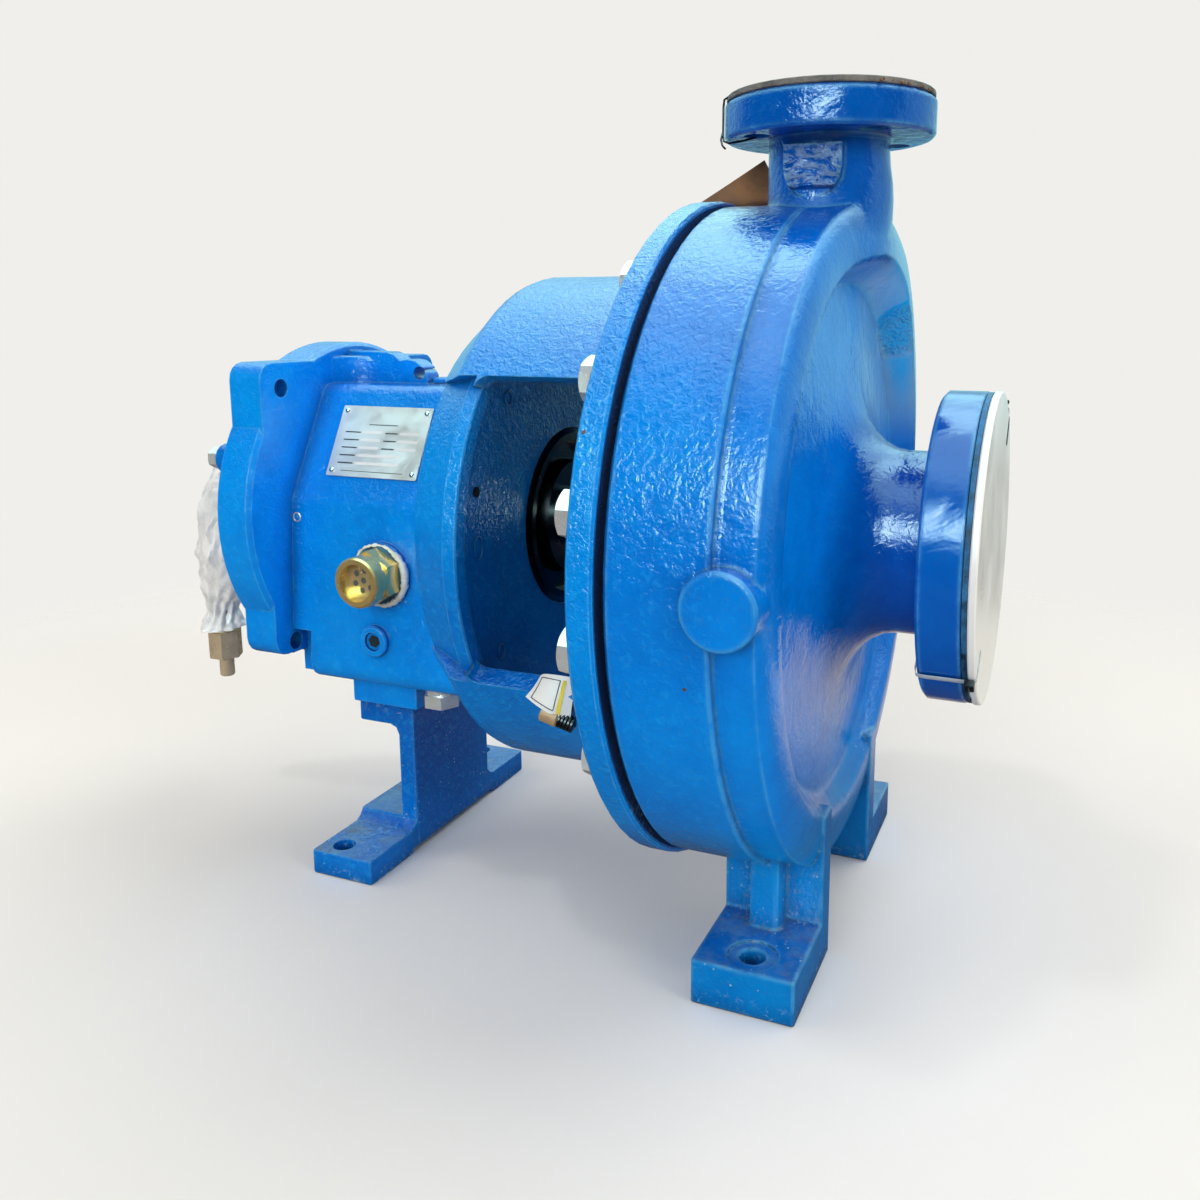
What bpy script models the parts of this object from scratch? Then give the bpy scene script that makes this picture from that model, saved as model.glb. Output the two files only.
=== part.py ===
"""Horizontal end-suction centrifugal pump with a bare shaft end, in metres, +Z up.

X runs along the shaft, towards the suction flange. The model is laid out from the suction flange face and the
floor, and the empty named pump then moves it so that the origin is under the middle of the pump.
"""

import math

import bmesh
import bpy
from mathutils import Matrix, Vector

# Clearance that touching pieces keep
SEAT_GAP = 0.0003
# How far a joined shape runs into its neighbour, and a cutter past a face
BITE = 0.004

# Standard sizes of a 3 x 1.5 - 13 process pump on a medium frame
SHAFT_HEIGHT = 0.254
DISCHARGE_RISE = 0.2667
DISCHARGE_X = -0.1016
CASING_HOLE_X = -0.104
CASING_FOOT_HOLE_Y = 0.1238
FOOT_HOLE_SPACING = 0.3175
FRAME_FOOT_HOLE_Y = 0.0921
FOOT_HOLE_RADIUS = 0.008
SHAFT_LENGTH = 0.5969
SHAFT_END_RADIUS = 0.0143

# Suction flange and nozzle
SUCTION_FLANGE_RADIUS = 0.09525
SUCTION_FLANGE_THICKNESS = 0.0249
SUCTION_PIPE_RADIUS = 0.0575
SUCTION_BOLT_CIRCLE = 0.0762
SUCTION_HOLE_RADIUS = 0.0095

# Discharge flange and neck
DISCHARGE_FLANGE_RADIUS = 0.0635
DISCHARGE_FLANGE_THICKNESS = 0.0219
DISCHARGE_NECK_RADIUS = 0.0365
DISCHARGE_BOLT_CIRCLE = 0.0492
DISCHARGE_HOLE_RADIUS = 0.008

# Flange covers
SUCTION_GASKET_THICKNESS = 0.0028
SUCTION_COVER_THICKNESS = 0.0045
SUCTION_COVER_RADIUS = 0.0955
DISCHARGE_COVER_THICKNESS = 0.0036
DISCHARGE_COVER_RADIUS = 0.0625

# Casing rim and volute
RIM_RADIUS = 0.2074
RIM_BACK_X = -0.1594
PARTING_X = -0.1035
VOLUTE_INSET = 0.0049
VOLUTE_RADIUS_GROWTH = 0.006
VOLUTE_HALF_WIDTH = 0.0275
VOLUTE_WIDTH_GROWTH = 0.0125
VOLUTE_TONGUE = 0.12
VOLUTE_STRAIGHT_SHARE = 0.7
CREST_INSET = 0.0304
DISH_FLOOR = 0.0205
DISH_RADIUS = 0.112
DISH_WALL = 0.017
DISH_SLOPE = 0.0035
ROOT_LENGTH = 0.037
BOSS_RADIUS = 0.02
BOSS_X = -0.0971
BOSS_RISE = 0.0034
BOSS_STANDING = 0.0054

# Casing feet
FOOT_PLATE_X = -0.1053
FOOT_LENGTH = 0.0622
FOOT_OUTER_Y = 0.141
FOOT_PLATE_OUTER_Y = 0.078
FOOT_PLATE_THICKNESS = 0.018
FOOT_PAD_HEIGHT = 0.0278
FOOT_PLATE_DROP = 0.156
FOOT_RIB_WIDTH = 0.019
FOOT_RIB_REACH = 0.017
SPOTFACE_RADIUS = 0.015
SPOTFACE_DEPTH = 0.001

# Boss on the discharge neck
NECK_BOSS_WIDTH = 0.035
NECK_BOSS_REACH = 0.004
NECK_BOSS_DROP = 0.0063

# Adapter between casing and bearing frame
ADAPTER_RING_RADIUS = 0.2108
ADAPTER_RING_FRONT_X = -0.1632
ADAPTER_RING_THICKNESS = 0.0151
BARREL_RADIUS = 0.166
BARREL_WALL = 0.0135
BARREL_LENGTH = 0.1067
ADAPTER_BACK_X = -0.3163
ADAPTER_BACK_RADIUS = 0.1405
ADAPTER_BACK_WALL = 0.033
LAND_RADIUS = 0.1577
LAND_LENGTH = 0.009
LAND_WALL = 0.0105
WINDOW_BACK_X = -0.276
WINDOW_FRONT_X = -0.186
WINDOW_TOP_ANGLE = math.radians(39.5)
WINDOW_TOP_SLOPE = 0.26
WINDOW_BOTTOM_ANGLE = math.radians(-27)
WINDOW_CORNER = 0.0075
ADAPTER_BORE_RADIUS = 0.0625

# Seal chamber cover and gland
CHAMBER_RIM_RADIUS = 0.196
CHAMBER_REGISTER_RADIUS = 0.149
CHAMBER_REGISTER_BACK_X = -0.178
CHAMBER_BODY_RADIUS = 0.068
CHAMBER_BACK_X = -0.214
GLAND_RADIUS = 0.062
GLAND_THICKNESS = 0.014
SLEEVE_RADIUS = 0.0235
SLEEVE_BACK_X = -0.245
SHAFT_RADIUS = 0.0205
SHAFT_FRONT_X = -0.2
RUNNING_GAP = 0.0008

# Bearing frame
FLANGE_FRONT_X = -0.463
FLANGE_RADIUS = 0.1205
FLANGE_THICKNESS = 0.03
EAR_THICKNESS = 0.027
EAR_HALF_WIDTH = 0.1018
EAR_RISE = 0.1085
EAR_DROP = 0.0985
EAR_CORNER = 0.012
EAR_HOLE_Y = 0.082
EAR_HOLE_Z = 0.0905
EAR_HOLE_RADIUS = 0.0064
POCKET_LENGTH = 0.016
POCKET_INNER_Y = 0.07
POCKET_DROP = 0.081
SUMP_HALF_WIDTH = 0.087
SUMP_KNEE_HALF_WIDTH = 0.0775
SUMP_TOP_HALF_WIDTH = 0.036
SUMP_DROP = 0.116
SUMP_KNEE_RISE = 0.012
SUMP_RISE = 0.091
SUMP_CORNER = 0.012
LUG_THICKNESS = 0.016
LUG_LENGTH = 0.07
LUG_HEIGHT = 0.0235
LUG_HOLE_RADIUS = 0.0048
FRAME_BORE_RADIUS = 0.0545
FRAME_PAD_DROP = 0.1415
FRAME_PAD_HALF_WIDTH = 0.056

# Frame foot
FOOT_WEB_FRONT_X = -0.388
FOOT_WEB_THICKNESS = 0.014
FOOT_BACK_X = -0.439
FOOT_WEB_HALF_WIDTH = 0.05
FOOT_END_Y = 0.106
FOOT_END_HEIGHT = 0.018
FOOT_BAR_HEIGHT = 0.0255
FOOT_TOP_BACK_X = -0.436
FOOT_TOP_THICKNESS = 0.0165
FOOT_FILLET = 0.007
FOOT_RELIEF = 0.003
FOOT_PAD_INNER_Y = 0.057

# Coupling end of the bearing frame
END_COVER_RADIUS = 0.086
END_COVER_FLANGE = 0.0145
END_COVER_LOBE_RADIUS = 0.0105
END_COVER_BOLT_CIRCLE = 0.1
END_COVER_HUB_RADIUS = 0.06
END_COVER_HUB_LENGTH = 0.0165
LABYRINTH_RADIUS = 0.043
LABYRINTH_LENGTH = 0.011
INBOARD_SEAL_RADIUS = 0.062
INBOARD_SEAL_FRONT_X = -0.2795
KEYWAY_WIDTH = 0.0064
KEYWAY_DEPTH = 0.0032
KEYWAY_LENGTH = 0.054

# Fittings on the sump
SIGHT_GLASS_X = -0.386
SIGHT_GLASS_DROP = 0.0345
SIGHT_GLASS_RADIUS = 0.0172
SIGHT_SEAT_REACH = 0.0057
SIGHT_GASKET_THICKNESS = 0.0015
SIGHT_GLASS_LENGTH = 0.0247
SIGHT_HEX_RADIUS = 0.0195
SIGHT_BORE_RADIUS = 0.0127
SIDE_PLUG_X = -0.391
SIDE_PLUG_DROP = 0.0815
SIDE_BOSS_RADIUS = 0.011
SIDE_PLUG_RADIUS = 0.0065
DRAIN_X = -0.358
DRAIN_Y = -0.056
DRAIN_HEX_RADIUS = 0.0135
DRAIN_LENGTH = 0.0165
FILLER_X = -0.384
FILLER_RADIUS = 0.0085

# Plastic bag tied over the shaft end, with a pipe fitting in it
BAG_OVERLAP = 0.0519
BAG_PAST_SHAFT = 0.0251
BAG_HALF_WIDTH = 0.03
BAG_RISE = 0.022
BAG_DROP = 0.096
FITTING_PAST_SHAFT = 0.0161
FITTING_HEX_RADIUS = 0.0135
FITTING_HEX_LENGTH = 0.023
FITTING_NECK_LENGTH = 0.026
FITTING_STUB_RADIUS = 0.006
FITTING_STUB_LENGTH = 0.017

DISCHARGE_HEIGHT = SHAFT_HEIGHT + DISCHARGE_RISE
SUCTION_COVER_FACE_X = SUCTION_GASKET_THICKNESS + SUCTION_COVER_THICKNESS + 2 * SEAT_GAP
BAG_BACK_X = -SHAFT_LENGTH - BAG_PAST_SHAFT
FITTING_X = -SHAFT_LENGTH - FITTING_PAST_SHAFT
MIDDLE_X = (FITTING_X - FITTING_HEX_RADIUS + SUCTION_COVER_FACE_X) / 2
ADAPTER_RING_BACK_X = ADAPTER_RING_FRONT_X - ADAPTER_RING_THICKNESS
BARREL_SHOULDER_X = ADAPTER_RING_BACK_X - BARREL_LENGTH
FLANGE_BACK_X = FLANGE_FRONT_X - FLANGE_THICKNESS
EAR_BACK_X = FLANGE_FRONT_X - EAR_THICKNESS
SUMP_BOTTOM_Z = SHAFT_HEIGHT - SUMP_DROP
SUMP_TOP_Z = SHAFT_HEIGHT + SUMP_RISE
FOOT_TOP_Z = SHAFT_HEIGHT - FRAME_PAD_DROP
END_COVER_BACK_X = FLANGE_BACK_X - SEAT_GAP - END_COVER_FLANGE
HUB_BACK_X = END_COVER_BACK_X - END_COVER_HUB_LENGTH
RING_STEPS = 72
PIPE_STEPS = 40
SMALL_STEPS = 20

PAINT = ("blue_enamel", (0.010, 0.125, 0.56), 0.28, 0.0)
BLACK_STEEL = ("black_steel", (0.02, 0.02, 0.022), 0.35, 0.6)
BRIGHT_STEEL = ("bright_steel", (0.62, 0.62, 0.60), 0.3, 1.0)
BRASS = ("brass", (0.72, 0.52, 0.20), 0.25, 1.0)
DARK_RUBBER = ("blue_black_rubber", (0.02, 0.05, 0.12), 0.5, 0.0)
WHITE_PLASTIC = ("white_plastic", (0.80, 0.79, 0.75), 0.45, 0.0)
GREY_BOARD = ("grey_board", (0.30, 0.27, 0.24), 0.85, 0.0)
CLEAR_FILM = ("clear_film", (0.85, 0.85, 0.84), 0.3, 0.0)
CAST_IRON = ("cast_iron", (0.05, 0.055, 0.06), 0.55, 0.3)


def clear_scene():
    for obj in list(bpy.data.objects):
        bpy.data.objects.remove(obj, do_unlink=True)


def new_collection(name):
    collection = bpy.data.collections.new(name)
    bpy.context.scene.collection.children.link(collection)
    return collection


def material_of(recipe):
    name, colour, roughness, metallic = recipe
    material = bpy.data.materials.get(name)
    if material:
        return material
    material = bpy.data.materials.new(name)
    material.use_nodes = True
    shader = material.node_tree.nodes["Principled BSDF"]
    shader.inputs["Base Color"].default_value = (*colour, 1)
    shader.inputs["Roughness"].default_value = roughness
    shader.inputs["Metallic"].default_value = metallic
    return material


clear_scene()
PARTS = new_collection("centrifugal_pump")
CUTTERS = new_collection("pump_cutters")
PUMP = bpy.data.objects.new("pump", None)
PUMP.location = (-MIDDLE_X, 0, 0)
PARTS.objects.link(PUMP)
SHAFT_AXIS = bpy.data.objects.new("shaft_axis", None)
SHAFT_AXIS.location = (0, 0, SHAFT_HEIGHT)
SHAFT_AXIS.parent = PUMP
PARTS.objects.link(SHAFT_AXIS)

# Directions in which a shape's own X, Y and Z axes point
LYING = Matrix(((0, 0, 1), (1, 0, 0), (0, 1, 0)))
FACING_SIDE = Matrix(((1, 0, 0), (0, 0, -1), (0, 1, 0)))
UPRIGHT = Matrix.Identity(3)


def add_object(name, data, turn=UPRIGHT, place=(0, 0, 0)):
    obj = bpy.data.objects.new(name, data)
    obj.matrix_world = Matrix.Translation(place) @ turn.to_4x4()
    CUTTERS.objects.link(obj)
    return obj


def as_mesh(obj):
    """The object's shape with its modifiers in it, welded, facing out, in a plain mesh object."""
    bpy.context.view_layer.update()
    graph = bpy.context.evaluated_depsgraph_get()
    mesh = bpy.data.meshes.new_from_object(obj.evaluated_get(graph))
    name = obj.name
    place = obj.matrix_world.copy()
    bpy.data.objects.remove(obj)
    shape = bmesh.new()
    shape.from_mesh(mesh)
    bmesh.ops.remove_doubles(shape, verts=shape.verts, dist=1e-6)
    bmesh.ops.recalc_face_normals(shape, faces=shape.faces)
    shape.to_mesh(mesh)
    shape.free()
    solid = bpy.data.objects.new(name, mesh)
    solid.matrix_world = place
    CUTTERS.objects.link(solid)
    return solid


def turned(name, profile, place=(0, 0, 0), turn=UPRIGHT, steps=RING_STEPS):
    """A solid turned about its own X axis from (x, radius) points."""
    mesh = bpy.data.meshes.new(name)
    points = [(x, radius, 0) for x, radius in profile]
    edges = [(i, i + 1) for i in range(len(points) - 1)]
    if profile[0][1] > 0:
        edges.append((len(points) - 1, 0))
    mesh.from_pydata(points, edges, [])
    obj = add_object(name, mesh, turn, place)
    screw = obj.modifiers.new("turn", "SCREW")
    screw.axis = "X"
    screw.steps = steps
    screw.render_steps = steps
    screw.use_merge_vertices = True
    screw.merge_threshold = 1e-5
    return as_mesh(obj)


def disc(name, x_low, x_high, radius, edge=0.0, hole=0.0, steps=RING_STEPS, centre=(0, 0, 0), turn=UPRIGHT):
    """A turned plate between two stations, with its outer edges broken and an optional bore."""
    rim = [(x_low, radius - edge), (x_low + edge, radius), (x_high - edge, radius), (x_high, radius - edge)]
    if edge == 0:
        rim = [(x_low, radius), (x_high, radius)]
    profile = [(x_low, hole), *rim, (x_high, hole)]
    return turned(name, profile, centre, turn, steps)


def extruded(name, outline, thickness, place, turn=UPRIGHT, edge=0.0):
    """A flat outline in its own XY plane, extruded to both sides of it, with rounded long edges."""
    curve = bpy.data.curves.new(name, "CURVE")
    curve.dimensions = "2D"
    curve.fill_mode = "BOTH"
    curve.extrude = thickness / 2
    line = curve.splines.new("POLY")
    line.points.add(len(outline) - 1)
    for point, (u, v) in zip(line.points, outline):
        point.co = (u, v, 0, 1)
    line.use_cyclic_u = True
    solid = as_mesh(add_object(name, curve, turn, place))
    if edge > 0:
        round_edges(solid, edge)
    return solid


def round_edges(obj, width, segments=2, angle=math.radians(50)):
    bevel = obj.modifiers.new("edges", "BEVEL")
    bevel.width = width
    bevel.segments = segments
    bevel.limit_method = "ANGLE"
    bevel.angle_limit = angle


def box(name, low, high, edge=0.0, segments=2):
    mesh = bpy.data.meshes.new(name)
    shape = bmesh.new()
    bmesh.ops.create_cube(shape, size=1)
    size = Vector(high) - Vector(low)
    bmesh.ops.scale(shape, vec=size, verts=shape.verts)
    shape.to_mesh(mesh)
    shape.free()
    obj = add_object(name, mesh, UPRIGHT, (Vector(low) + Vector(high)) / 2)
    if edge > 0:
        round_edges(obj, edge, segments)
    return obj


def rounded_outline(corners, radius, steps=4):
    """A closed outline through corners, each rounded by an arc of the radius given."""
    points = []
    count = len(corners)
    for i, corner in enumerate(corners):
        here = Vector(corner)
        before = (Vector(corners[i - 1]) - here).normalized()
        after = (Vector(corners[(i + 1) % count]) - here).normalized()
        half = before.angle(after) / 2
        reach = radius / math.tan(half)
        centre = here + (before + after).normalized() * radius / math.sin(half)
        start = here + before * reach - centre
        end = here + after * reach - centre
        sweep = start.angle_signed(end)
        for k in range(steps + 1):
            turn = Matrix.Rotation(-sweep * k / steps, 2)
            points.append(tuple(centre + turn @ start))
    return points


def circle_points(radius, steps, centre=(0, 0), start=0.0, sweep=2 * math.pi):
    return [
        (centre[0] + radius * math.cos(start + sweep * k / steps),
         centre[1] + radius * math.sin(start + sweep * k / steps))
        for k in range(steps)
    ]


def hexagon(radius, start=0.0):
    return circle_points(radius, 6, start=start)


def loft(name, rings, closed_tube=False):
    """A skin over rings of as many points each, closed by a face at each end."""
    mesh = bpy.data.meshes.new(name)
    shape = bmesh.new()
    rows = [[shape.verts.new(point) for point in ring] for ring in rings]
    around = len(rows[0])
    pairs = list(zip(rows, rows[1:]))
    if closed_tube:
        pairs.append((rows[-1], rows[0]))
    for low, high in pairs:
        for i in range(around):
            j = (i + 1) % around
            shape.faces.new((low[i], low[j], high[j], high[i]))
    if not closed_tube:
        shape.faces.new(rows[0])
        shape.faces.new(rows[-1])
    bmesh.ops.recalc_face_normals(shape, faces=shape.faces)
    shape.to_mesh(mesh)
    shape.free()
    return add_object(name, mesh)


def hide_helper(obj):
    obj.hide_render = True
    obj.display_type = "WIRE"


def apply_boolean(target, other, operation):
    change = target.modifiers.new(other.name, "BOOLEAN")
    change.operation = operation
    change.object = other
    hide_helper(other)


def join(target, *others):
    for other in others:
        apply_boolean(target, other, "UNION")


def cut(target, *others):
    for other in others:
        apply_boolean(target, other, "DIFFERENCE")


def hole_along_x(name, x_low, x_high, radius, y, z, steps=SMALL_STEPS):
    return disc(name, x_low, x_high, radius, centre=(0, y, z), steps=steps)


def hole_along_z(name, x, y, z_low, z_high, radius, steps=SMALL_STEPS):
    upward = Matrix.Rotation(-math.pi / 2, 3, "Y")
    return disc(name, z_low, z_high, radius, centre=(x, y, 0), turn=upward, steps=steps)


def stepped_hole(name, start, step, end, radii, place, turn=UPRIGHT, steps=SMALL_STEPS):
    """A cutter for a hole that widens at a step."""
    narrow, wide = radii
    profile = [(start, 0), (start, narrow), (step, narrow), (step, wide), (end, wide), (end, 0)]
    return turned(name, profile, place, turn, steps)


def outward_disc(name, side, near, far, radius, x, z, steps, edge=0.0, hole=0.0):
    """A disc about a line that runs out sideways, between two distances from the middle plane."""
    sideways = Matrix.Rotation(side * math.pi / 2, 3, "Z")
    return disc(name, near, far, radius, edge, hole, steps, (x, 0, z), sideways)


def carry(obj, parent):
    """Puts a shape, and the shapes that are joined to it or cut from it, in its parent's frame."""
    obj.parent = parent
    for change in obj.modifiers:
        if change.type == "BOOLEAN":
            carry(change.object, parent)


def finish(obj, recipe, parent=PUMP, sharp=math.radians(35)):
    """Makes the shape a part of the pump, with its material, carried by its parent's frame."""
    obj.data.materials.clear()
    obj.data.materials.append(material_of(recipe))
    CUTTERS.objects.unlink(obj)
    PARTS.objects.link(obj)
    obj.data.shade_smooth()
    obj.data.set_sharp_from_angle(angle=sharp)
    carry(obj, parent)


def on_shaft_axis(obj, recipe):
    """A turning piece: its own origin and its parent's are on the axis of the shaft."""
    finish(obj, recipe, SHAFT_AXIS)


def volute_section(growth):
    """(x, radius) points of the casing wall, from the rim's back corner round to the suction flange's face."""
    outer = RIM_RADIUS - VOLUTE_INSET + VOLUTE_RADIUS_GROWTH * growth
    half_width = VOLUTE_HALF_WIDTH + VOLUTE_WIDTH_GROWTH * min(1, growth / 0.92) ** 4
    straight = PARTING_X + VOLUTE_STRAIGHT_SHARE * half_width
    crest_x = PARTING_X + half_width
    crest_radius = RIM_RADIUS - CREST_INSET
    back_edge = 0.0025
    points = [
        (RIM_BACK_X, RIM_RADIUS - back_edge),
        (RIM_BACK_X + back_edge, RIM_RADIUS),
        (PARTING_X - 0.001, RIM_RADIUS),
        (PARTING_X, RIM_RADIUS - 0.001),
        (PARTING_X + 0.0003, outer),
        (straight, outer - 0.0003),
    ]
    round_steps = 6
    for k in range(1, round_steps + 1):
        angle = math.pi / 2 * k / round_steps
        x = straight + (crest_x - straight) * math.sin(angle)
        points.append((x, crest_radius + (outer - crest_radius) * math.cos(angle)))
    floor_x = PARTING_X + DISH_FLOOR
    wall_foot_x = floor_x - DISH_SLOPE
    wall_steps = 5
    for k in range(1, wall_steps + 1):
        share = k / wall_steps
        ease = share * share * (3 - 2 * share)
        points.append((crest_x + (wall_foot_x - crest_x) * ease, crest_radius - DISH_WALL * share))
    points.append((floor_x, DISH_RADIUS))
    root_rise = DISH_RADIUS - SUCTION_PIPE_RADIUS
    root_steps = 7
    for k in range(1, root_steps + 1):
        angle = math.pi / 2 * k / root_steps
        points.append((floor_x + ROOT_LENGTH * (1 - math.cos(angle)), DISH_RADIUS - root_rise * math.sin(angle)))
    flange_back = -SUCTION_FLANGE_THICKNESS
    edge = 0.002
    points += [
        (flange_back - 0.003, SUCTION_PIPE_RADIUS),
        (flange_back, SUCTION_PIPE_RADIUS + 0.003),
        (flange_back, SUCTION_FLANGE_RADIUS - edge),
        (flange_back + edge, SUCTION_FLANGE_RADIUS),
        (-edge / 2, SUCTION_FLANGE_RADIUS),
        (0, SUCTION_FLANGE_RADIUS - edge / 2),
    ]
    return points


def volute_growth(angle):
    """Share of the spiral's growth at an angle from the top, towards the near side, with the tongue at the top."""
    turn = (angle / (2 * math.pi)) % 1
    if turn < VOLUTE_TONGUE:
        return 1 - turn / VOLUTE_TONGUE
    return (turn - VOLUTE_TONGUE) / (1 - VOLUTE_TONGUE)


def volute_body():
    """The casing's body: a rim, a front whose channel widens round the spiral, and the suction nozzle and flange."""
    steps = RING_STEPS
    mesh = bpy.data.meshes.new("casing")
    shape = bmesh.new()
    rows = []
    for k in range(steps):
        angle = 2 * math.pi * k / steps
        rows.append([
            shape.verts.new((x, -radius * math.sin(angle), radius * math.cos(angle)))
            for x, radius in volute_section(volute_growth(angle))
        ])
    back = shape.verts.new((RIM_BACK_X, 0, 0))
    front = shape.verts.new((0, 0, 0))
    for k in range(steps):
        here, there = rows[k], rows[(k + 1) % steps]
        shape.faces.new((back, here[0], there[0]))
        shape.faces.new((front, there[-1], here[-1]))
        for i in range(len(here) - 1):
            shape.faces.new((here[i], here[i + 1], there[i + 1], there[i]))
    bmesh.ops.recalc_face_normals(shape, faces=shape.faces)
    shape.to_mesh(mesh)
    shape.free()
    return add_object("casing", mesh, UPRIGHT, (0, 0, SHAFT_HEIGHT))


def discharge_neck():
    """Neck that grows out of the end of the spiral, drawn out along it below and round at the flange."""
    top = DISCHARGE_HEIGHT - DISCHARGE_FLANGE_THICKNESS
    low = SHAFT_HEIGHT + RIM_RADIUS - CREST_INSET + 0.0014
    rise = top - low
    straight = DISCHARGE_NECK_RADIUS
    # height, then how far the neck reaches past its radius: suction side, far side, near side
    slices = [
        (top + BITE, 0.003, 0.003, 0.003),
        (top - 0.003, 0, 0, 0),
        (low + rise * 0.76, 0.001, 0.003, 0),
        (low + rise * 0.61, 0.0025, 0.008, 0.001),
        (low + rise * 0.46, 0.003, 0.014, 0.004),
        (low + rise * 0.3, 0.0025, 0.022, 0.009),
        (low + rise * 0.15, 0.001, 0.03, 0.014),
        (low, -0.001, 0.036, 0.018),
    ]
    rings = []
    steps = 36
    for z, front, far, near in slices:
        ring = []
        for k in range(steps):
            angle = 2 * math.pi * k / steps
            across, along = math.cos(angle), math.sin(angle)
            reach_x = straight + (front if across > 0 else 0)
            reach_y = straight + (far if along > 0 else near)
            ring.append((DISCHARGE_X + reach_x * across, reach_y * along, z))
        rings.append(ring)
    return loft("discharge_neck", rings)


def discharge_flange():
    upward = Matrix.Rotation(-math.pi / 2, 3, "Y")
    low = DISCHARGE_HEIGHT - DISCHARGE_FLANGE_THICKNESS
    return disc("discharge_flange", low, DISCHARGE_HEIGHT, DISCHARGE_FLANGE_RADIUS, 0.0018,
                centre=(DISCHARGE_X, 0, 0), turn=upward, steps=PIPE_STEPS)


def casing_foot(side):
    """Plate under the volute with the pad that is bolted down, and a stiffening rib in the corner."""
    inner = side * (FOOT_PLATE_OUTER_Y - FOOT_PLATE_THICKNESS)
    face = side * FOOT_PLATE_OUTER_Y
    outer = side * FOOT_OUTER_Y
    plate_top = SHAFT_HEIGHT - FOOT_PLATE_DROP
    section = [(inner, 0), (outer, 0), (outer, FOOT_PAD_HEIGHT), (face, FOOT_PAD_HEIGHT),
               (face, plate_top), (inner, plate_top)]
    foot = extruded("casing_foot", section, FOOT_LENGTH, (FOOT_PLATE_X, 0, 0), LYING, 0.0015)
    rib_y = sorted((face - side * BITE, face + side * FOOT_RIB_REACH))
    rib_x = FOOT_PLATE_X - 0.0012
    rib = box("foot_rib", (rib_x - FOOT_RIB_WIDTH / 2, rib_y[0], FOOT_PAD_HEIGHT - BITE),
              (rib_x + FOOT_RIB_WIDTH / 2, rib_y[1], plate_top - 0.02), 0.003)
    return foot, rib


def foot_bolt_hole(x, y, pad_height):
    upward = Matrix.Rotation(-math.pi / 2, 3, "Y")
    return stepped_hole("foot_hole", -BITE, pad_height - SPOTFACE_DEPTH, pad_height + BITE,
                        (FOOT_HOLE_RADIUS, SPOTFACE_RADIUS), (x, y, 0), upward)


def bolt_circle(radius, count=4):
    """Offsets of holes on a circle, none of them on its upright or level line."""
    return circle_points(radius, count, start=math.pi / count)


def neck_boss():
    """Boss on the neck for a gauge tapping: flat in front, straight above and round below."""
    half = NECK_BOSS_WIDTH / 2
    arc = circle_points(half, 10, (0, half), math.pi, math.pi * 1.1)
    height = 2 * half - BITE
    outline = [(-half, height), *arc, (half, half), (half, height)]
    top = DISCHARGE_HEIGHT - DISCHARGE_FLANGE_THICKNESS - NECK_BOSS_DROP
    face = DISCHARGE_NECK_RADIUS + NECK_BOSS_REACH
    place = (DISCHARGE_X, -face * 0.6, top - height)
    return extruded("neck_boss", outline, face * 0.8, place, FACING_SIDE, 0.0012)


def make_casing():
    casing = volute_body()
    join(casing, discharge_neck(), discharge_flange(), neck_boss())
    for side in (-1, 1):
        join(casing, *casing_foot(side))
        join(casing, outward_disc("parting_boss", side, RIM_RADIUS * 0.9, RIM_RADIUS + BOSS_STANDING, BOSS_RADIUS,
                                  BOSS_X, SHAFT_HEIGHT + BOSS_RISE, 28, 0.0012))
        cut(casing, foot_bolt_hole(CASING_HOLE_X, side * CASING_FOOT_HOLE_Y, FOOT_PAD_HEIGHT))
    for y, z in bolt_circle(SUCTION_BOLT_CIRCLE):
        cut(casing, hole_along_x("suction_hole", -SUCTION_FLANGE_THICKNESS - BITE, BITE, SUCTION_HOLE_RADIUS,
                                 y, SHAFT_HEIGHT + z))
    for x, y in bolt_circle(DISCHARGE_BOLT_CIRCLE):
        cut(casing, hole_along_z("discharge_hole", DISCHARGE_X + x, y,
                                 DISCHARGE_HEIGHT - DISCHARGE_FLANGE_THICKNESS - BITE,
                                 DISCHARGE_HEIGHT + BITE, DISCHARGE_HOLE_RADIUS))
    finish(casing, PAINT)


def make_flange_covers():
    gasket_face = SEAT_GAP + SUCTION_GASKET_THICKNESS
    gasket = disc("suction_gasket", SEAT_GAP, gasket_face, SUCTION_FLANGE_RADIUS - 0.0005,
                  centre=(0, 0, SHAFT_HEIGHT))
    finish(gasket, DARK_RUBBER)
    cover = disc("suction_cover", gasket_face + SEAT_GAP, SUCTION_COVER_FACE_X, SUCTION_COVER_RADIUS, 0.0008,
                 centre=(0, 0, SHAFT_HEIGHT))
    finish(cover, WHITE_PLASTIC)
    upward = Matrix.Rotation(-math.pi / 2, 3, "Y")
    low = DISCHARGE_HEIGHT + SEAT_GAP
    lid = disc("discharge_cover", low, low + DISCHARGE_COVER_THICKNESS, DISCHARGE_COVER_RADIUS, 0.0006,
               centre=(DISCHARGE_X, 0, 0), turn=upward, steps=PIPE_STEPS)
    finish(lid, GREY_BOARD)


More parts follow.
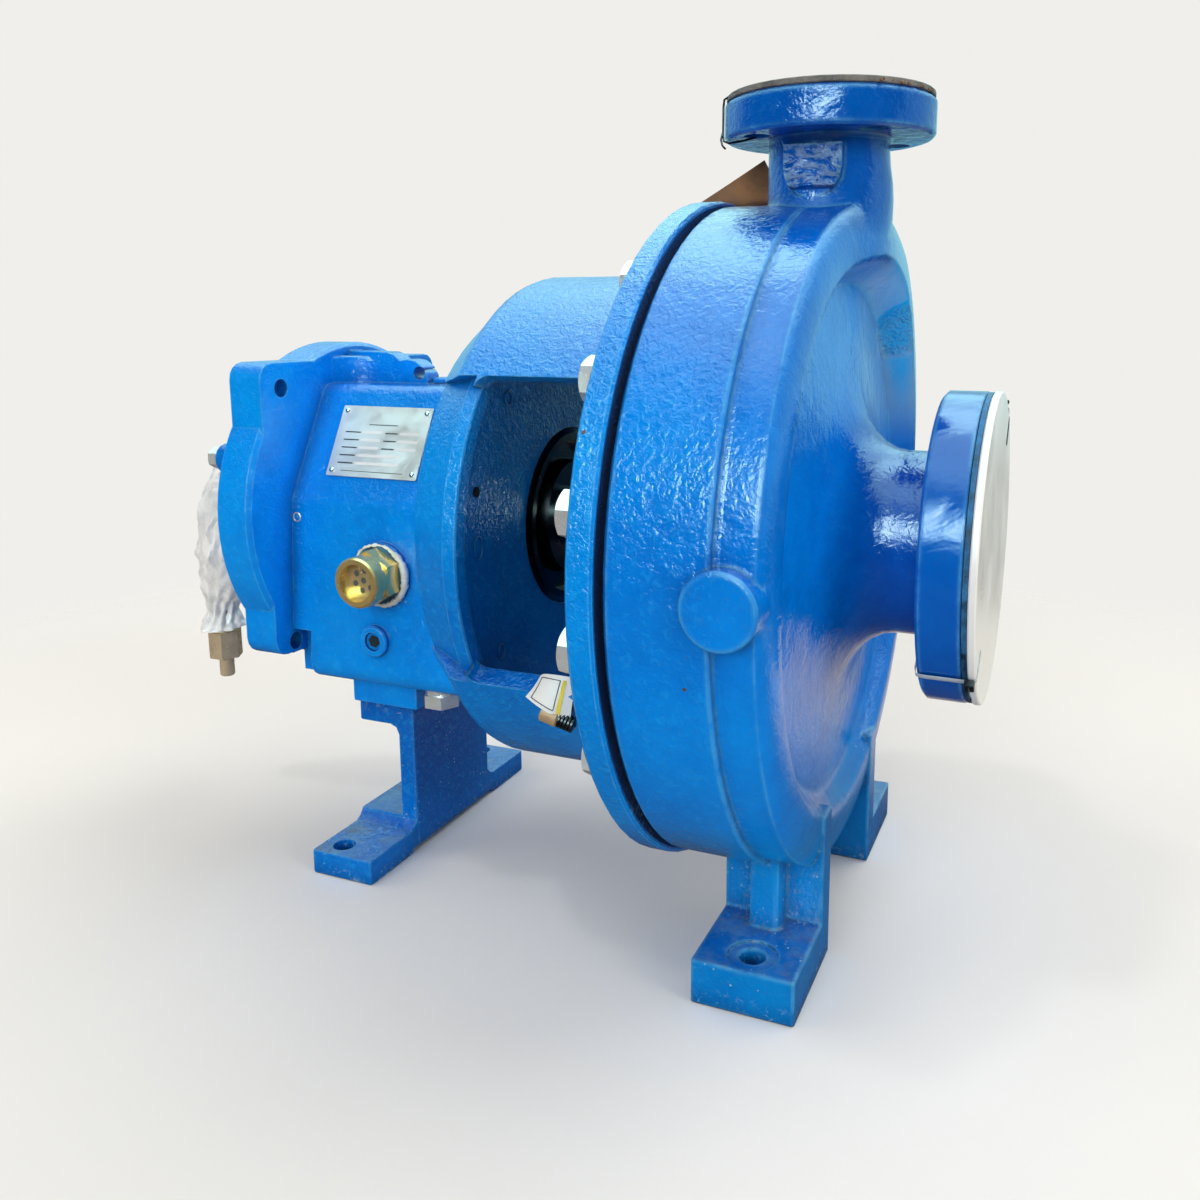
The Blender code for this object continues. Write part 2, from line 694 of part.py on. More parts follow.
def make_seal_chamber():
    """Cover that closes the casing behind the impeller and carries the shaft seal."""
    rim_front = RIM_BACK_X - SEAT_GAP
    rim_back = ADAPTER_RING_FRONT_X + SEAT_GAP
    back = CHAMBER_BACK_X
    bore = SLEEVE_RADIUS + RUNNING_GAP
    front_depth = 0.006
    profile = [
        (rim_front, bore),
        (back, bore),
        (back, CHAMBER_BODY_RADIUS),
        (CHAMBER_REGISTER_BACK_X - 0.012, CHAMBER_BODY_RADIUS + 0.004),
        (CHAMBER_REGISTER_BACK_X, CHAMBER_BODY_RADIUS + 0.022),
        (CHAMBER_REGISTER_BACK_X, CHAMBER_REGISTER_RADIUS),
        (rim_back, CHAMBER_REGISTER_RADIUS),
        (rim_back, CHAMBER_RIM_RADIUS),
        (rim_front, CHAMBER_RIM_RADIUS),
    ]
    chamber = turned("seal_chamber_cover", profile, (0, 0, SHAFT_HEIGHT), steps=PIPE_STEPS)
    finish(chamber, CAST_IRON)
    gland_front = back - SEAT_GAP
    gland = disc("seal_gland", gland_front - GLAND_THICKNESS, gland_front, GLAND_RADIUS, 0.001, bore,
                 centre=(0, 0, SHAFT_HEIGHT), steps=PIPE_STEPS)
    finish(gland, BRIGHT_STEEL)


def window_outline(y):
    """Rounded opening of a barrel window at a distance from the middle plane, as (x, height over the shaft)."""
    edge_y = BARREL_RADIUS * math.cos(WINDOW_TOP_ANGLE)
    top = BARREL_RADIUS * math.sin(WINDOW_TOP_ANGLE) + (y - edge_y) * WINDOW_TOP_SLOPE
    bottom = y * math.tan(WINDOW_BOTTOM_ANGLE)
    corners = [(WINDOW_BACK_X, bottom), (WINDOW_FRONT_X, bottom), (WINDOW_FRONT_X, top), (WINDOW_BACK_X, top)]
    return rounded_outline(corners, WINDOW_CORNER)


def window_cutters(side):
    """Opening with rounded corners between the arms, and the same opening over the land behind it."""
    near = BARREL_RADIUS * 0.4
    far = BARREL_RADIUS * 1.2
    rings = [[(x, side * y, SHAFT_HEIGHT + z) for x, z in window_outline(y)] for y in (near, far)]
    opening = loft("window", rings)
    outline = []
    for y in (near, far):
        heights = [z for _, z in window_outline(y)]
        ends = (min(heights), max(heights))
        outline += [(side * y, z) for z in (ends if y == near else ends[::-1])]
    back = ADAPTER_BACK_X - BITE
    behind = extruded("window_behind", outline, WINDOW_BACK_X - back, ((WINDOW_BACK_X + back) / 2, 0, SHAFT_HEIGHT),
                      LYING)
    return opening, behind


def make_frame_adapter():
    """Casting that bolts the bearing frame to the casing: a ring, two arms between windows and a back wall."""
    inner = BARREL_RADIUS - BARREL_WALL
    wall_front = ADAPTER_BACK_X + ADAPTER_BACK_WALL
    land_inner = LAND_RADIUS - LAND_WALL
    cone_start = WINDOW_BACK_X - LAND_LENGTH
    barrel_profile = [
        (ADAPTER_RING_BACK_X + BITE, inner),
        (wall_front - BITE, inner),
        (ADAPTER_BACK_X + 0.012, ADAPTER_BACK_RADIUS - 0.009),
        (ADAPTER_BACK_X + 0.0009, ADAPTER_BACK_RADIUS - 0.009),
        (ADAPTER_BACK_X + 0.0009, ADAPTER_BACK_RADIUS + 0.0026),
        (ADAPTER_BACK_X + 0.0063, ADAPTER_BACK_RADIUS + 0.007),
        (ADAPTER_BACK_X + 0.0163, ADAPTER_BACK_RADIUS + 0.0148),
        (BARREL_SHOULDER_X - 0.01, BARREL_RADIUS - 0.006),
        (BARREL_SHOULDER_X - 0.005, BARREL_RADIUS - 0.0014),
        (BARREL_SHOULDER_X, BARREL_RADIUS),
        (ADAPTER_RING_BACK_X - 0.006, BARREL_RADIUS),
        (ADAPTER_RING_BACK_X - 0.0015, BARREL_RADIUS + 0.0015),
        (ADAPTER_RING_BACK_X + BITE, BARREL_RADIUS + 0.0055),
    ]
    adapter = turned("frame_adapter", barrel_profile, (0, 0, SHAFT_HEIGHT))
    for side in (-1, 1):
        cut(adapter, *window_cutters(side))
    edge = 0.0015
    ring = disc("clamp_ring", ADAPTER_RING_BACK_X, ADAPTER_RING_FRONT_X, ADAPTER_RING_RADIUS, edge, inner - 0.001,
                centre=(0, 0, SHAFT_HEIGHT))
    back_profile = [
        (WINDOW_BACK_X, land_inner),
        (wall_front, land_inner - 0.004),
        (wall_front, ADAPTER_BORE_RADIUS),
        (ADAPTER_BACK_X, ADAPTER_BORE_RADIUS),
        (ADAPTER_BACK_X, ADAPTER_BACK_RADIUS - 0.001),
        (ADAPTER_BACK_X + 0.001, ADAPTER_BACK_RADIUS),
        (cone_start - 0.001, LAND_RADIUS - 0.0032),
        (cone_start, LAND_RADIUS),
        (WINDOW_BACK_X - 0.001, LAND_RADIUS),
        (WINDOW_BACK_X, LAND_RADIUS - 0.001),
    ]
    join(adapter, ring, turned("back_wall", back_profile, (0, 0, SHAFT_HEIGHT)))
    finish(adapter, PAINT)


def sump_outline():
    """Section of the oil sump: upright sides with draft, sloped shoulders and a flat top, about the shaft axis."""
    corners = [
        (-SUMP_HALF_WIDTH, -SUMP_DROP),
        (SUMP_HALF_WIDTH, -SUMP_DROP),
        (SUMP_KNEE_HALF_WIDTH, SUMP_KNEE_RISE),
        (SUMP_TOP_HALF_WIDTH, SUMP_RISE),
        (-SUMP_TOP_HALF_WIDTH, SUMP_RISE),
        (-SUMP_KNEE_HALF_WIDTH, SUMP_KNEE_RISE),
    ]
    return rounded_outline(corners, SUMP_CORNER)


def ear_outline():
    """The four ears of the coupling-end flange, as one rounded plate about the shaft axis."""
    half = EAR_HALF_WIDTH
    corners = [(-half, -EAR_DROP), (half, -EAR_DROP), (half, EAR_RISE), (-half, EAR_RISE)]
    return rounded_outline(corners, EAR_CORNER)


def lifting_lug():
    """Lug along the top of the sump, with a rounded free end, that widens where it meets the flange."""
    root = FLANGE_FRONT_X - BITE
    tip = FLANGE_FRONT_X + LUG_LENGTH
    outline = [
        (root, -BITE),
        (tip, -BITE),
        (tip - 0.001, 0.006),
        (tip - 0.005, 0.0125),
        (tip - 0.011, 0.0165),
        (tip - 0.018, 0.0175),
        (tip - 0.024, 0.0165),
        (tip - 0.029, 0.0205),
        (tip - 0.035, LUG_HEIGHT - 0.001),
        (root, LUG_HEIGHT),
    ]
    lug = extruded("lifting_lug", outline, LUG_THICKNESS, (0, 0, SUMP_TOP_Z), FACING_SIDE, 0.0025)
    half = LUG_THICKNESS / 2
    plan = [(root, -half * 3.6), (FLANGE_FRONT_X, -half * 3.4), (FLANGE_FRONT_X + 0.004, -half * 2.3),
            (FLANGE_FRONT_X + 0.011, -half * 1.45), (FLANGE_FRONT_X + 0.024, -half * 0.9)]
    plan += [(x, -y) for x, y in reversed(plan)]
    height = LUG_HEIGHT - 0.004
    flare = extruded("lug_flare", plan, height + BITE, (0, 0, SUMP_TOP_Z + (height - BITE) / 2), UPRIGHT, 0.002)
    return lug, flare


def make_bearing_frame():
    """Bearing frame casting: oil sump body, coupling-end flange with ears, lifting lug and foot pad."""
    front = ADAPTER_BACK_X - SEAT_GAP
    back = FLANGE_FRONT_X - BITE
    frame = extruded("bearing_frame", sump_outline(), front - back, ((front + back) / 2, 0, SHAFT_HEIGHT), LYING)
    ears = extruded("flange_ears", ear_outline(), EAR_THICKNESS,
                    ((FLANGE_FRONT_X + EAR_BACK_X) / 2, 0, SHAFT_HEIGHT), LYING, 0.004)
    round_flange = disc("round_flange", FLANGE_BACK_X, FLANGE_FRONT_X, FLANGE_RADIUS, 0.003,
                        centre=(0, 0, SHAFT_HEIGHT))
    pad = box("frame_pad", (FOOT_TOP_BACK_X, -FRAME_PAD_HALF_WIDTH, FOOT_TOP_Z + SEAT_GAP),
              (FOOT_WEB_FRONT_X + 0.008, FRAME_PAD_HALF_WIDTH, SUMP_BOTTOM_Z + BITE), 0.0015)
    sight_z = SHAFT_HEIGHT - SIGHT_GLASS_DROP
    sight_boss = outward_disc("sight_boss", -1, SUMP_KNEE_HALF_WIDTH - 0.01, SUMP_KNEE_HALF_WIDTH + SIGHT_SEAT_REACH,
                              SIGHT_HEX_RADIUS + 0.003, SIGHT_GLASS_X, sight_z, PIPE_STEPS)
    join(frame, ears, round_flange, *lifting_lug(), pad, sight_boss)
    plug_z = SHAFT_HEIGHT - SIDE_PLUG_DROP
    for side in (-1, 1):
        join(frame, outward_disc("plug_boss", side, SUMP_KNEE_HALF_WIDTH - 0.01, SUMP_HALF_WIDTH + 0.0015,
                                 SIDE_BOSS_RADIUS, SIDE_PLUG_X, plug_z, 28, 0.001))
        cut(frame, outward_disc("plug_bore", side, SUMP_HALF_WIDTH - 0.008, SUMP_HALF_WIDTH + BITE,
                                SIDE_PLUG_RADIUS + SEAT_GAP, SIDE_PLUG_X, plug_z, 20))
        edges_y = sorted((side * POCKET_INNER_Y, side * (SUMP_HALF_WIDTH + 0.03)))
        pocket_corners = [(edges_y[0], -SUMP_DROP - 0.03), (edges_y[1], -SUMP_DROP - 0.03),
                          (edges_y[1], -POCKET_DROP), (edges_y[0], -POCKET_DROP)]
        cut(frame, extruded("ear_pocket", rounded_outline(pocket_corners, 0.009), POCKET_LENGTH,
                            (FLANGE_FRONT_X + POCKET_LENGTH / 2, 0, SHAFT_HEIGHT), LYING))
        below_ear = box("below_ear", (back - BITE, edges_y[0], SUMP_BOTTOM_Z - BITE),
                        (FLANGE_FRONT_X + BITE, edges_y[1], SHAFT_HEIGHT - EAR_DROP - SEAT_GAP))
        cut(frame, below_ear)
        for height in (-EAR_HOLE_Z, EAR_HOLE_Z):
            cut(frame, hole_along_x("ear_hole", EAR_BACK_X - BITE, FLANGE_FRONT_X + BITE, EAR_HOLE_RADIUS,
                                    side * EAR_HOLE_Y, SHAFT_HEIGHT + height))
    cut(frame, hole_along_x("seal_bore", ADAPTER_BACK_X - 0.02, ADAPTER_BACK_X + BITE, FRAME_BORE_RADIUS,
                            0, SHAFT_HEIGHT, PIPE_STEPS))
    cut(frame, hole_along_x("shaft_bore", FLANGE_BACK_X - BITE, ADAPTER_BACK_X + BITE,
                            SHAFT_RADIUS + RUNNING_GAP, 0, SHAFT_HEIGHT, PIPE_STEPS))
    cut(frame, outward_disc("lug_hole", -1, -LUG_THICKNESS, LUG_THICKNESS, LUG_HOLE_RADIUS,
                            FLANGE_FRONT_X + LUG_LENGTH - 0.0075, SUMP_TOP_Z + 0.0075, SMALL_STEPS))
    finish(frame, PAINT)


def make_coupling_end():
    """Thrust bearing cover, held by three lobes, and the shaft seal at the coupling end."""
    bore = SHAFT_RADIUS + RUNNING_GAP
    front = FLANGE_BACK_X - SEAT_GAP
    profile = [
        (front, bore),
        (HUB_BACK_X, bore),
        (HUB_BACK_X, END_COVER_HUB_RADIUS - 0.004),
        (HUB_BACK_X + 0.004, END_COVER_HUB_RADIUS),
        (END_COVER_BACK_X - 0.003, END_COVER_HUB_RADIUS + 0.002),
        (END_COVER_BACK_X, END_COVER_HUB_RADIUS + 0.005),
        (END_COVER_BACK_X, END_COVER_RADIUS - 0.002),
        (END_COVER_BACK_X + 0.002, END_COVER_RADIUS),
        (front, END_COVER_RADIUS),
    ]
    cover = turned("bearing_end_cover", profile, (0, 0, SHAFT_HEIGHT), steps=PIPE_STEPS)
    for degrees in (24, 144, 264):
        angle = math.radians(degrees)
        reach, wide = END_COVER_BOLT_CIRCLE, END_COVER_LOBE_RADIUS
        tip = circle_points(wide, 8, (reach, 0), -math.pi / 2, math.pi * 8 / 7)
        lobe_outline = [(reach * 0.7, wide * 1.5), (reach * 0.7, -wide * 1.5), *tip]
        lobe = extruded("cover_lobe", [(-(u * math.cos(angle) - v * math.sin(angle)),
                                        u * math.sin(angle) + v * math.cos(angle)) for u, v in lobe_outline],
                        END_COVER_FLANGE - 0.001, (front - END_COVER_FLANGE / 2, 0, SHAFT_HEIGHT), LYING)
        join(cover, lobe)
    finish(cover, PAINT)
    seal_front = HUB_BACK_X - SEAT_GAP
    seal = disc("outboard_labyrinth_seal", seal_front - LABYRINTH_LENGTH, seal_front, LABYRINTH_RADIUS, 0.0015,
                SHAFT_END_RADIUS + RUNNING_GAP, PIPE_STEPS, (0, 0, SHAFT_HEIGHT))
    finish(seal, BRASS)


def make_inboard_seal():
    """Black labyrinth seal that closes the bearing frame where the shaft comes out into the adapter."""
    front = INBOARD_SEAL_FRONT_X
    back = ADAPTER_BACK_X
    bore = SHAFT_RADIUS + RUNNING_GAP
    fit = ADAPTER_BORE_RADIUS - SEAT_GAP
    profile = [
        (front, bore),
        (back, bore),
        (back, fit),
        (front - 0.004, fit),
        (front - 0.001, INBOARD_SEAL_RADIUS - 0.003),
        (front - 0.001, INBOARD_SEAL_RADIUS - 0.008),
        (front - 0.009, INBOARD_SEAL_RADIUS - 0.01),
        (front - 0.009, INBOARD_SEAL_RADIUS - 0.021),
        (front, INBOARD_SEAL_RADIUS - 0.023),
    ]
    finish(turned("inboard_labyrinth_seal", profile, (0, 0, SHAFT_HEIGHT), steps=PIPE_STEPS), BLACK_STEEL)


def make_frame_foot():
    """Foot under the bearing frame: a top plate and a bar on two floor pads, joined by one web on the casing's side."""
    top = FOOT_TOP_Z
    plate_bottom = top - FOOT_TOP_THICKNESS
    web_back = FOOT_WEB_FRONT_X - FOOT_WEB_THICKNESS
    side_outline = [
        (FOOT_BACK_X, FOOT_BAR_HEIGHT - 0.006),
        (FOOT_BACK_X + 0.004, FOOT_RELIEF),
        (FOOT_WEB_FRONT_X, FOOT_RELIEF),
        (FOOT_WEB_FRONT_X, top),
        (FOOT_TOP_BACK_X, top),
        (FOOT_TOP_BACK_X, plate_bottom),
        (web_back - FOOT_FILLET, plate_bottom),
        (web_back - FOOT_FILLET * 0.3, plate_bottom - FOOT_FILLET * 0.3),
        (web_back, plate_bottom - FOOT_FILLET),
        (web_back, FOOT_BAR_HEIGHT),
        (FOOT_BACK_X, FOOT_BAR_HEIGHT),
    ]
    foot = extruded("frame_foot", side_outline, 2 * FOOT_WEB_HALF_WIDTH, (0, 0, 0), FACING_SIDE, 0.0018)
    step = FOOT_BAR_HEIGHT - FOOT_END_HEIGHT
    right = [
        (FOOT_PAD_INNER_Y - FOOT_RELIEF, FOOT_RELIEF),
        (FOOT_PAD_INNER_Y, 0),
        (FOOT_END_Y, 0),
        (FOOT_END_Y, FOOT_END_HEIGHT),
        (FOOT_WEB_HALF_WIDTH + step, FOOT_END_HEIGHT),
        (FOOT_WEB_HALF_WIDTH + step * 0.4, FOOT_END_HEIGHT + step * 0.3),
        (FOOT_WEB_HALF_WIDTH, FOOT_BAR_HEIGHT - 0.0015),
    ]
    left = [(-y, z) for y, z in reversed(right)]
    middle = (FOOT_BACK_X + FOOT_WEB_FRONT_X) / 2
    length = FOOT_WEB_FRONT_X - FOOT_BACK_X - 0.0006
    join(foot, extruded("foot_bar", [*right, *left], length, (middle, 0, 0), LYING, 0.0015))
    upward = Matrix.Rotation(-math.pi / 2, 3, "Y")
    for side in (-1, 1):
        cut(foot, disc("foot_hole", -BITE, FOOT_END_HEIGHT + BITE, FOOT_HOLE_RADIUS,
                       centre=(CASING_HOLE_X - FOOT_HOLE_SPACING, side * FRAME_FOOT_HOLE_Y, 0), turn=upward, steps=24))
    finish(foot, PAINT)


def make_sight_glass():
    """Brass sight glass on the near side: a hexagon, a round ring and a window set back in it."""
    z = SHAFT_HEIGHT - SIGHT_GLASS_DROP
    gasket_back = SUMP_KNEE_HALF_WIDTH + SIGHT_SEAT_REACH + SEAT_GAP
    gasket_face = gasket_back + SIGHT_GASKET_THICKNESS
    gasket = outward_disc("sight_glass_gasket", -1, gasket_back, gasket_face, SIGHT_HEX_RADIUS + 0.0008,
                          SIGHT_GLASS_X, z, PIPE_STEPS)
    finish(gasket, WHITE_PLASTIC)
    seat = gasket_face + SEAT_GAP
    front = seat + SIGHT_GLASS_LENGTH
    hex_length = SIGHT_GLASS_LENGTH / 2
    body = extruded("sight_glass_body", hexagon(SIGHT_HEX_RADIUS, math.pi / 6), hex_length,
                    (SIGHT_GLASS_X, -(seat + hex_length / 2), z), FACING_SIDE)
    window_seat = front - 0.009
    join(body, outward_disc("ring", -1, seat + hex_length - BITE, front, SIGHT_GLASS_RADIUS, SIGHT_GLASS_X,
                            z, PIPE_STEPS, 0.0012))
    cut(body, outward_disc("recess", -1, window_seat, front + BITE, SIGHT_BORE_RADIUS, SIGHT_GLASS_X,
                           z, PIPE_STEPS))
    finish(body, BRASS)
    lens = outward_disc("sight_glass_lens", -1, window_seat + SEAT_GAP, window_seat + 0.004,
                        SIGHT_BORE_RADIUS - SEAT_GAP, SIGHT_GLASS_X, z, PIPE_STEPS)
    finish(lens, BRASS)


def make_plugs():
    plug_z = SHAFT_HEIGHT - SIDE_PLUG_DROP
    for name, side in (("side_plug_near", -1), ("side_plug_far", 1)):
        bottom = SUMP_HALF_WIDTH - 0.008 + SEAT_GAP
        plug = outward_disc(name, side, bottom, SUMP_HALF_WIDTH - 0.0005, SIDE_PLUG_RADIUS, SIDE_PLUG_X,
                            plug_z, 20)
        key = extruded("key", hexagon(0.0035), 0.01, (SIDE_PLUG_X, side * (SUMP_HALF_WIDTH + 0.0005), plug_z),
                       FACING_SIDE)
        cut(plug, key)
        finish(plug, PAINT)
    top = SUMP_BOTTOM_Z - SEAT_GAP
    upward = Matrix.Rotation(-math.pi / 2, 3, "Y")
    drain = disc("drain_plug", top - DRAIN_LENGTH / 2, top, DRAIN_HEX_RADIUS * 0.78, 0.0008,
                 centre=(DRAIN_X, DRAIN_Y, 0), turn=upward, steps=SMALL_STEPS)
    head = extruded("head", hexagon(DRAIN_HEX_RADIUS), DRAIN_LENGTH * 0.55,
                    (DRAIN_X, DRAIN_Y, top - DRAIN_LENGTH * 0.725))
    join(drain, head)
    finish(drain, BRIGHT_STEEL)
    filler = disc("filler_plug", SUMP_TOP_Z + SEAT_GAP, SUMP_TOP_Z + 0.0045, FILLER_RADIUS, 0.001,
                  centre=(FILLER_X, 0, 0), turn=upward, steps=SMALL_STEPS)
    finish(filler, PAINT)


def make_shaft():
    """Shaft in steps, from inside the seal chamber to the keyed coupling end."""
    step_x = HUB_BACK_X + 0.006
    profile = [
        (-SHAFT_LENGTH, 0),
        (-SHAFT_LENGTH, SHAFT_END_RADIUS - 0.0012),
        (-SHAFT_LENGTH + 0.0012, SHAFT_END_RADIUS),
        (step_x, SHAFT_END_RADIUS),
        (step_x, SHAFT_RADIUS),
        (SHAFT_FRONT_X, SHAFT_RADIUS),
        (SHAFT_FRONT_X, 0),
    ]
    shaft = turned("shaft", profile, steps=PIPE_STEPS)
    keyway = box("keyway", (-SHAFT_LENGTH - BITE, -KEYWAY_WIDTH / 2, SHAFT_END_RADIUS - KEYWAY_DEPTH),
                 (-SHAFT_LENGTH + KEYWAY_LENGTH, KEYWAY_WIDTH / 2, SHAFT_END_RADIUS + BITE))
    cut(shaft, keyway)
    on_shaft_axis(shaft, BRIGHT_STEEL)
    sleeve = disc("shaft_sleeve", SLEEVE_BACK_X, SHAFT_FRONT_X, SLEEVE_RADIUS, 0.001,
                  SHAFT_RADIUS + SEAT_GAP, PIPE_STEPS)
    on_shaft_axis(sleeve, BRIGHT_STEEL)


def bag_ring(z, x_middle, half_x, half_y, steps=16):
    """One level of the bag, a squarish ring at a height over the shaft."""
    ring = []
    for k in range(steps):
        angle = 2 * math.pi * k / steps
        c, s = math.cos(angle), math.sin(angle)
        ring.append((x_middle + half_x * math.copysign(abs(c) ** 0.7, c),
                     half_y * math.copysign(abs(s) ** 0.7, s), z))
    return ring


def make_bag():
    """Plastic bag drawn over the shaft end and hanging from it, and the fitting in its lower end."""
    front = -SHAFT_LENGTH + BAG_OVERLAP
    middle = (front + BAG_BACK_X) / 2
    half = (front - BAG_BACK_X) / 2
    lower_half = half * 0.25
    # height over the shaft, middle, half length and share of the bag's width
    levels = [
        (BAG_RISE, middle + 0.006, half * 0.7, 0.55),
        (BAG_RISE - 0.008, middle + 0.002, half * 0.9, 0.8),
        (0, middle, half, 1),
        (-BAG_DROP * 0.4, middle - 0.002, half - 0.002, 0.95),
        (-BAG_DROP * 0.8, BAG_BACK_X + half * 0.6, half * 0.6, 0.8),
        (-BAG_DROP, FITTING_X + lower_half * 0.3, lower_half * 1.3, 0.55),
    ]
    bag = loft("shaft_bag", [bag_ring(z, x, half_x, BAG_HALF_WIDTH * share) for z, x, half_x, share in levels])
    bore = disc("bag_bore", -SHAFT_LENGTH - SEAT_GAP, front + BITE, SHAFT_END_RADIUS + SEAT_GAP, steps=PIPE_STEPS)
    cut(bag, bore)
    on_shaft_axis(bag, CLEAR_FILM)
    upward = Matrix.Rotation(-math.pi / 2, 3, "Y")
    body_top = -BAG_DROP - SEAT_GAP
    hex_top = body_top - FITTING_NECK_LENGTH
    hex_bottom = hex_top - FITTING_HEX_LENGTH
    fitting = disc("bagged_fitting", hex_top - BITE, body_top, FITTING_HEX_RADIUS * 0.8, 0.001,
                   centre=(FITTING_X, 0, 0), turn=upward, steps=SMALL_STEPS)
    nut = extruded("nut", hexagon(FITTING_HEX_RADIUS), FITTING_HEX_LENGTH,
                   (FITTING_X, 0, (hex_top + hex_bottom) / 2))
    stub = disc("stub", hex_bottom - FITTING_STUB_LENGTH, hex_bottom + BITE, FITTING_STUB_RADIUS, 0.001,
                centre=(FITTING_X, 0, 0), turn=upward, steps=SMALL_STEPS)
    join(fitting, nut, stub)
    on_shaft_axis(fitting, BRASS)


make_casing()
make_flange_covers()
make_seal_chamber()
make_frame_adapter()
make_bearing_frame()
make_coupling_end()
make_inboard_seal()
make_frame_foot()
make_sight_glass()
make_plugs()
make_shaft()
make_bag()
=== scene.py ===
import math
import random

import bpy
from mathutils import Matrix, Vector, noise


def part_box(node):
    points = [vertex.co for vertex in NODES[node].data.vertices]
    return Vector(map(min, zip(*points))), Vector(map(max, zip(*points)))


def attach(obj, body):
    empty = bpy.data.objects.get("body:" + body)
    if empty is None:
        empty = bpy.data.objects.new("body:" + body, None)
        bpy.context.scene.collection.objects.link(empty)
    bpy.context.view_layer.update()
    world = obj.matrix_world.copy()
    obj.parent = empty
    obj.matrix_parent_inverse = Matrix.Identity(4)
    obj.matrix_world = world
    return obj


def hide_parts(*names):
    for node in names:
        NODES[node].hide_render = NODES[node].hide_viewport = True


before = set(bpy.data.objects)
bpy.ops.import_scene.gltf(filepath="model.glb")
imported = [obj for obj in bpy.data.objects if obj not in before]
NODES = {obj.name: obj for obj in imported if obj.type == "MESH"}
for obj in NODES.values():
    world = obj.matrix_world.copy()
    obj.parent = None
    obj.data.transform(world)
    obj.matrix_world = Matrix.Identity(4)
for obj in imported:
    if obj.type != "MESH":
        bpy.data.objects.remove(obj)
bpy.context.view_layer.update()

LO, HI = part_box("discharge_cover")
OFF = (LO.x + HI.x) / 2 + 0.1016
SHAFT = 0.254


def at(x, y, z):
    """A point given in millimetres from the suction face, the shaft's upright plane and the floor."""
    return Vector((x / 1000 + OFF, y / 1000, z / 1000))


def polar(x, radius, degrees):
    """A point round the shaft; 0 is the near side and 90 is up. Millimetres."""
    a = math.radians(degrees)
    return at(x, -radius * math.cos(a), SHAFT * 1000 + radius * math.sin(a))


def frame_of(origin, axis, turn=0.0):
    """A matrix whose z runs along the axis."""
    q = Vector(axis).normalized().to_track_quat("Z", "Y")
    return Matrix.Translation(origin) @ q.to_matrix().to_4x4() @ Matrix.Rotation(turn, 4, "Z")


# Section of a flat strap, as shares of its half width and half thickness.
STRAP = ((-1, -0.5), (-0.85, -1), (0.85, -1), (1, -0.5), (1, 0.5), (0.85, 1), (-0.85, 1), (-1, 0.5))


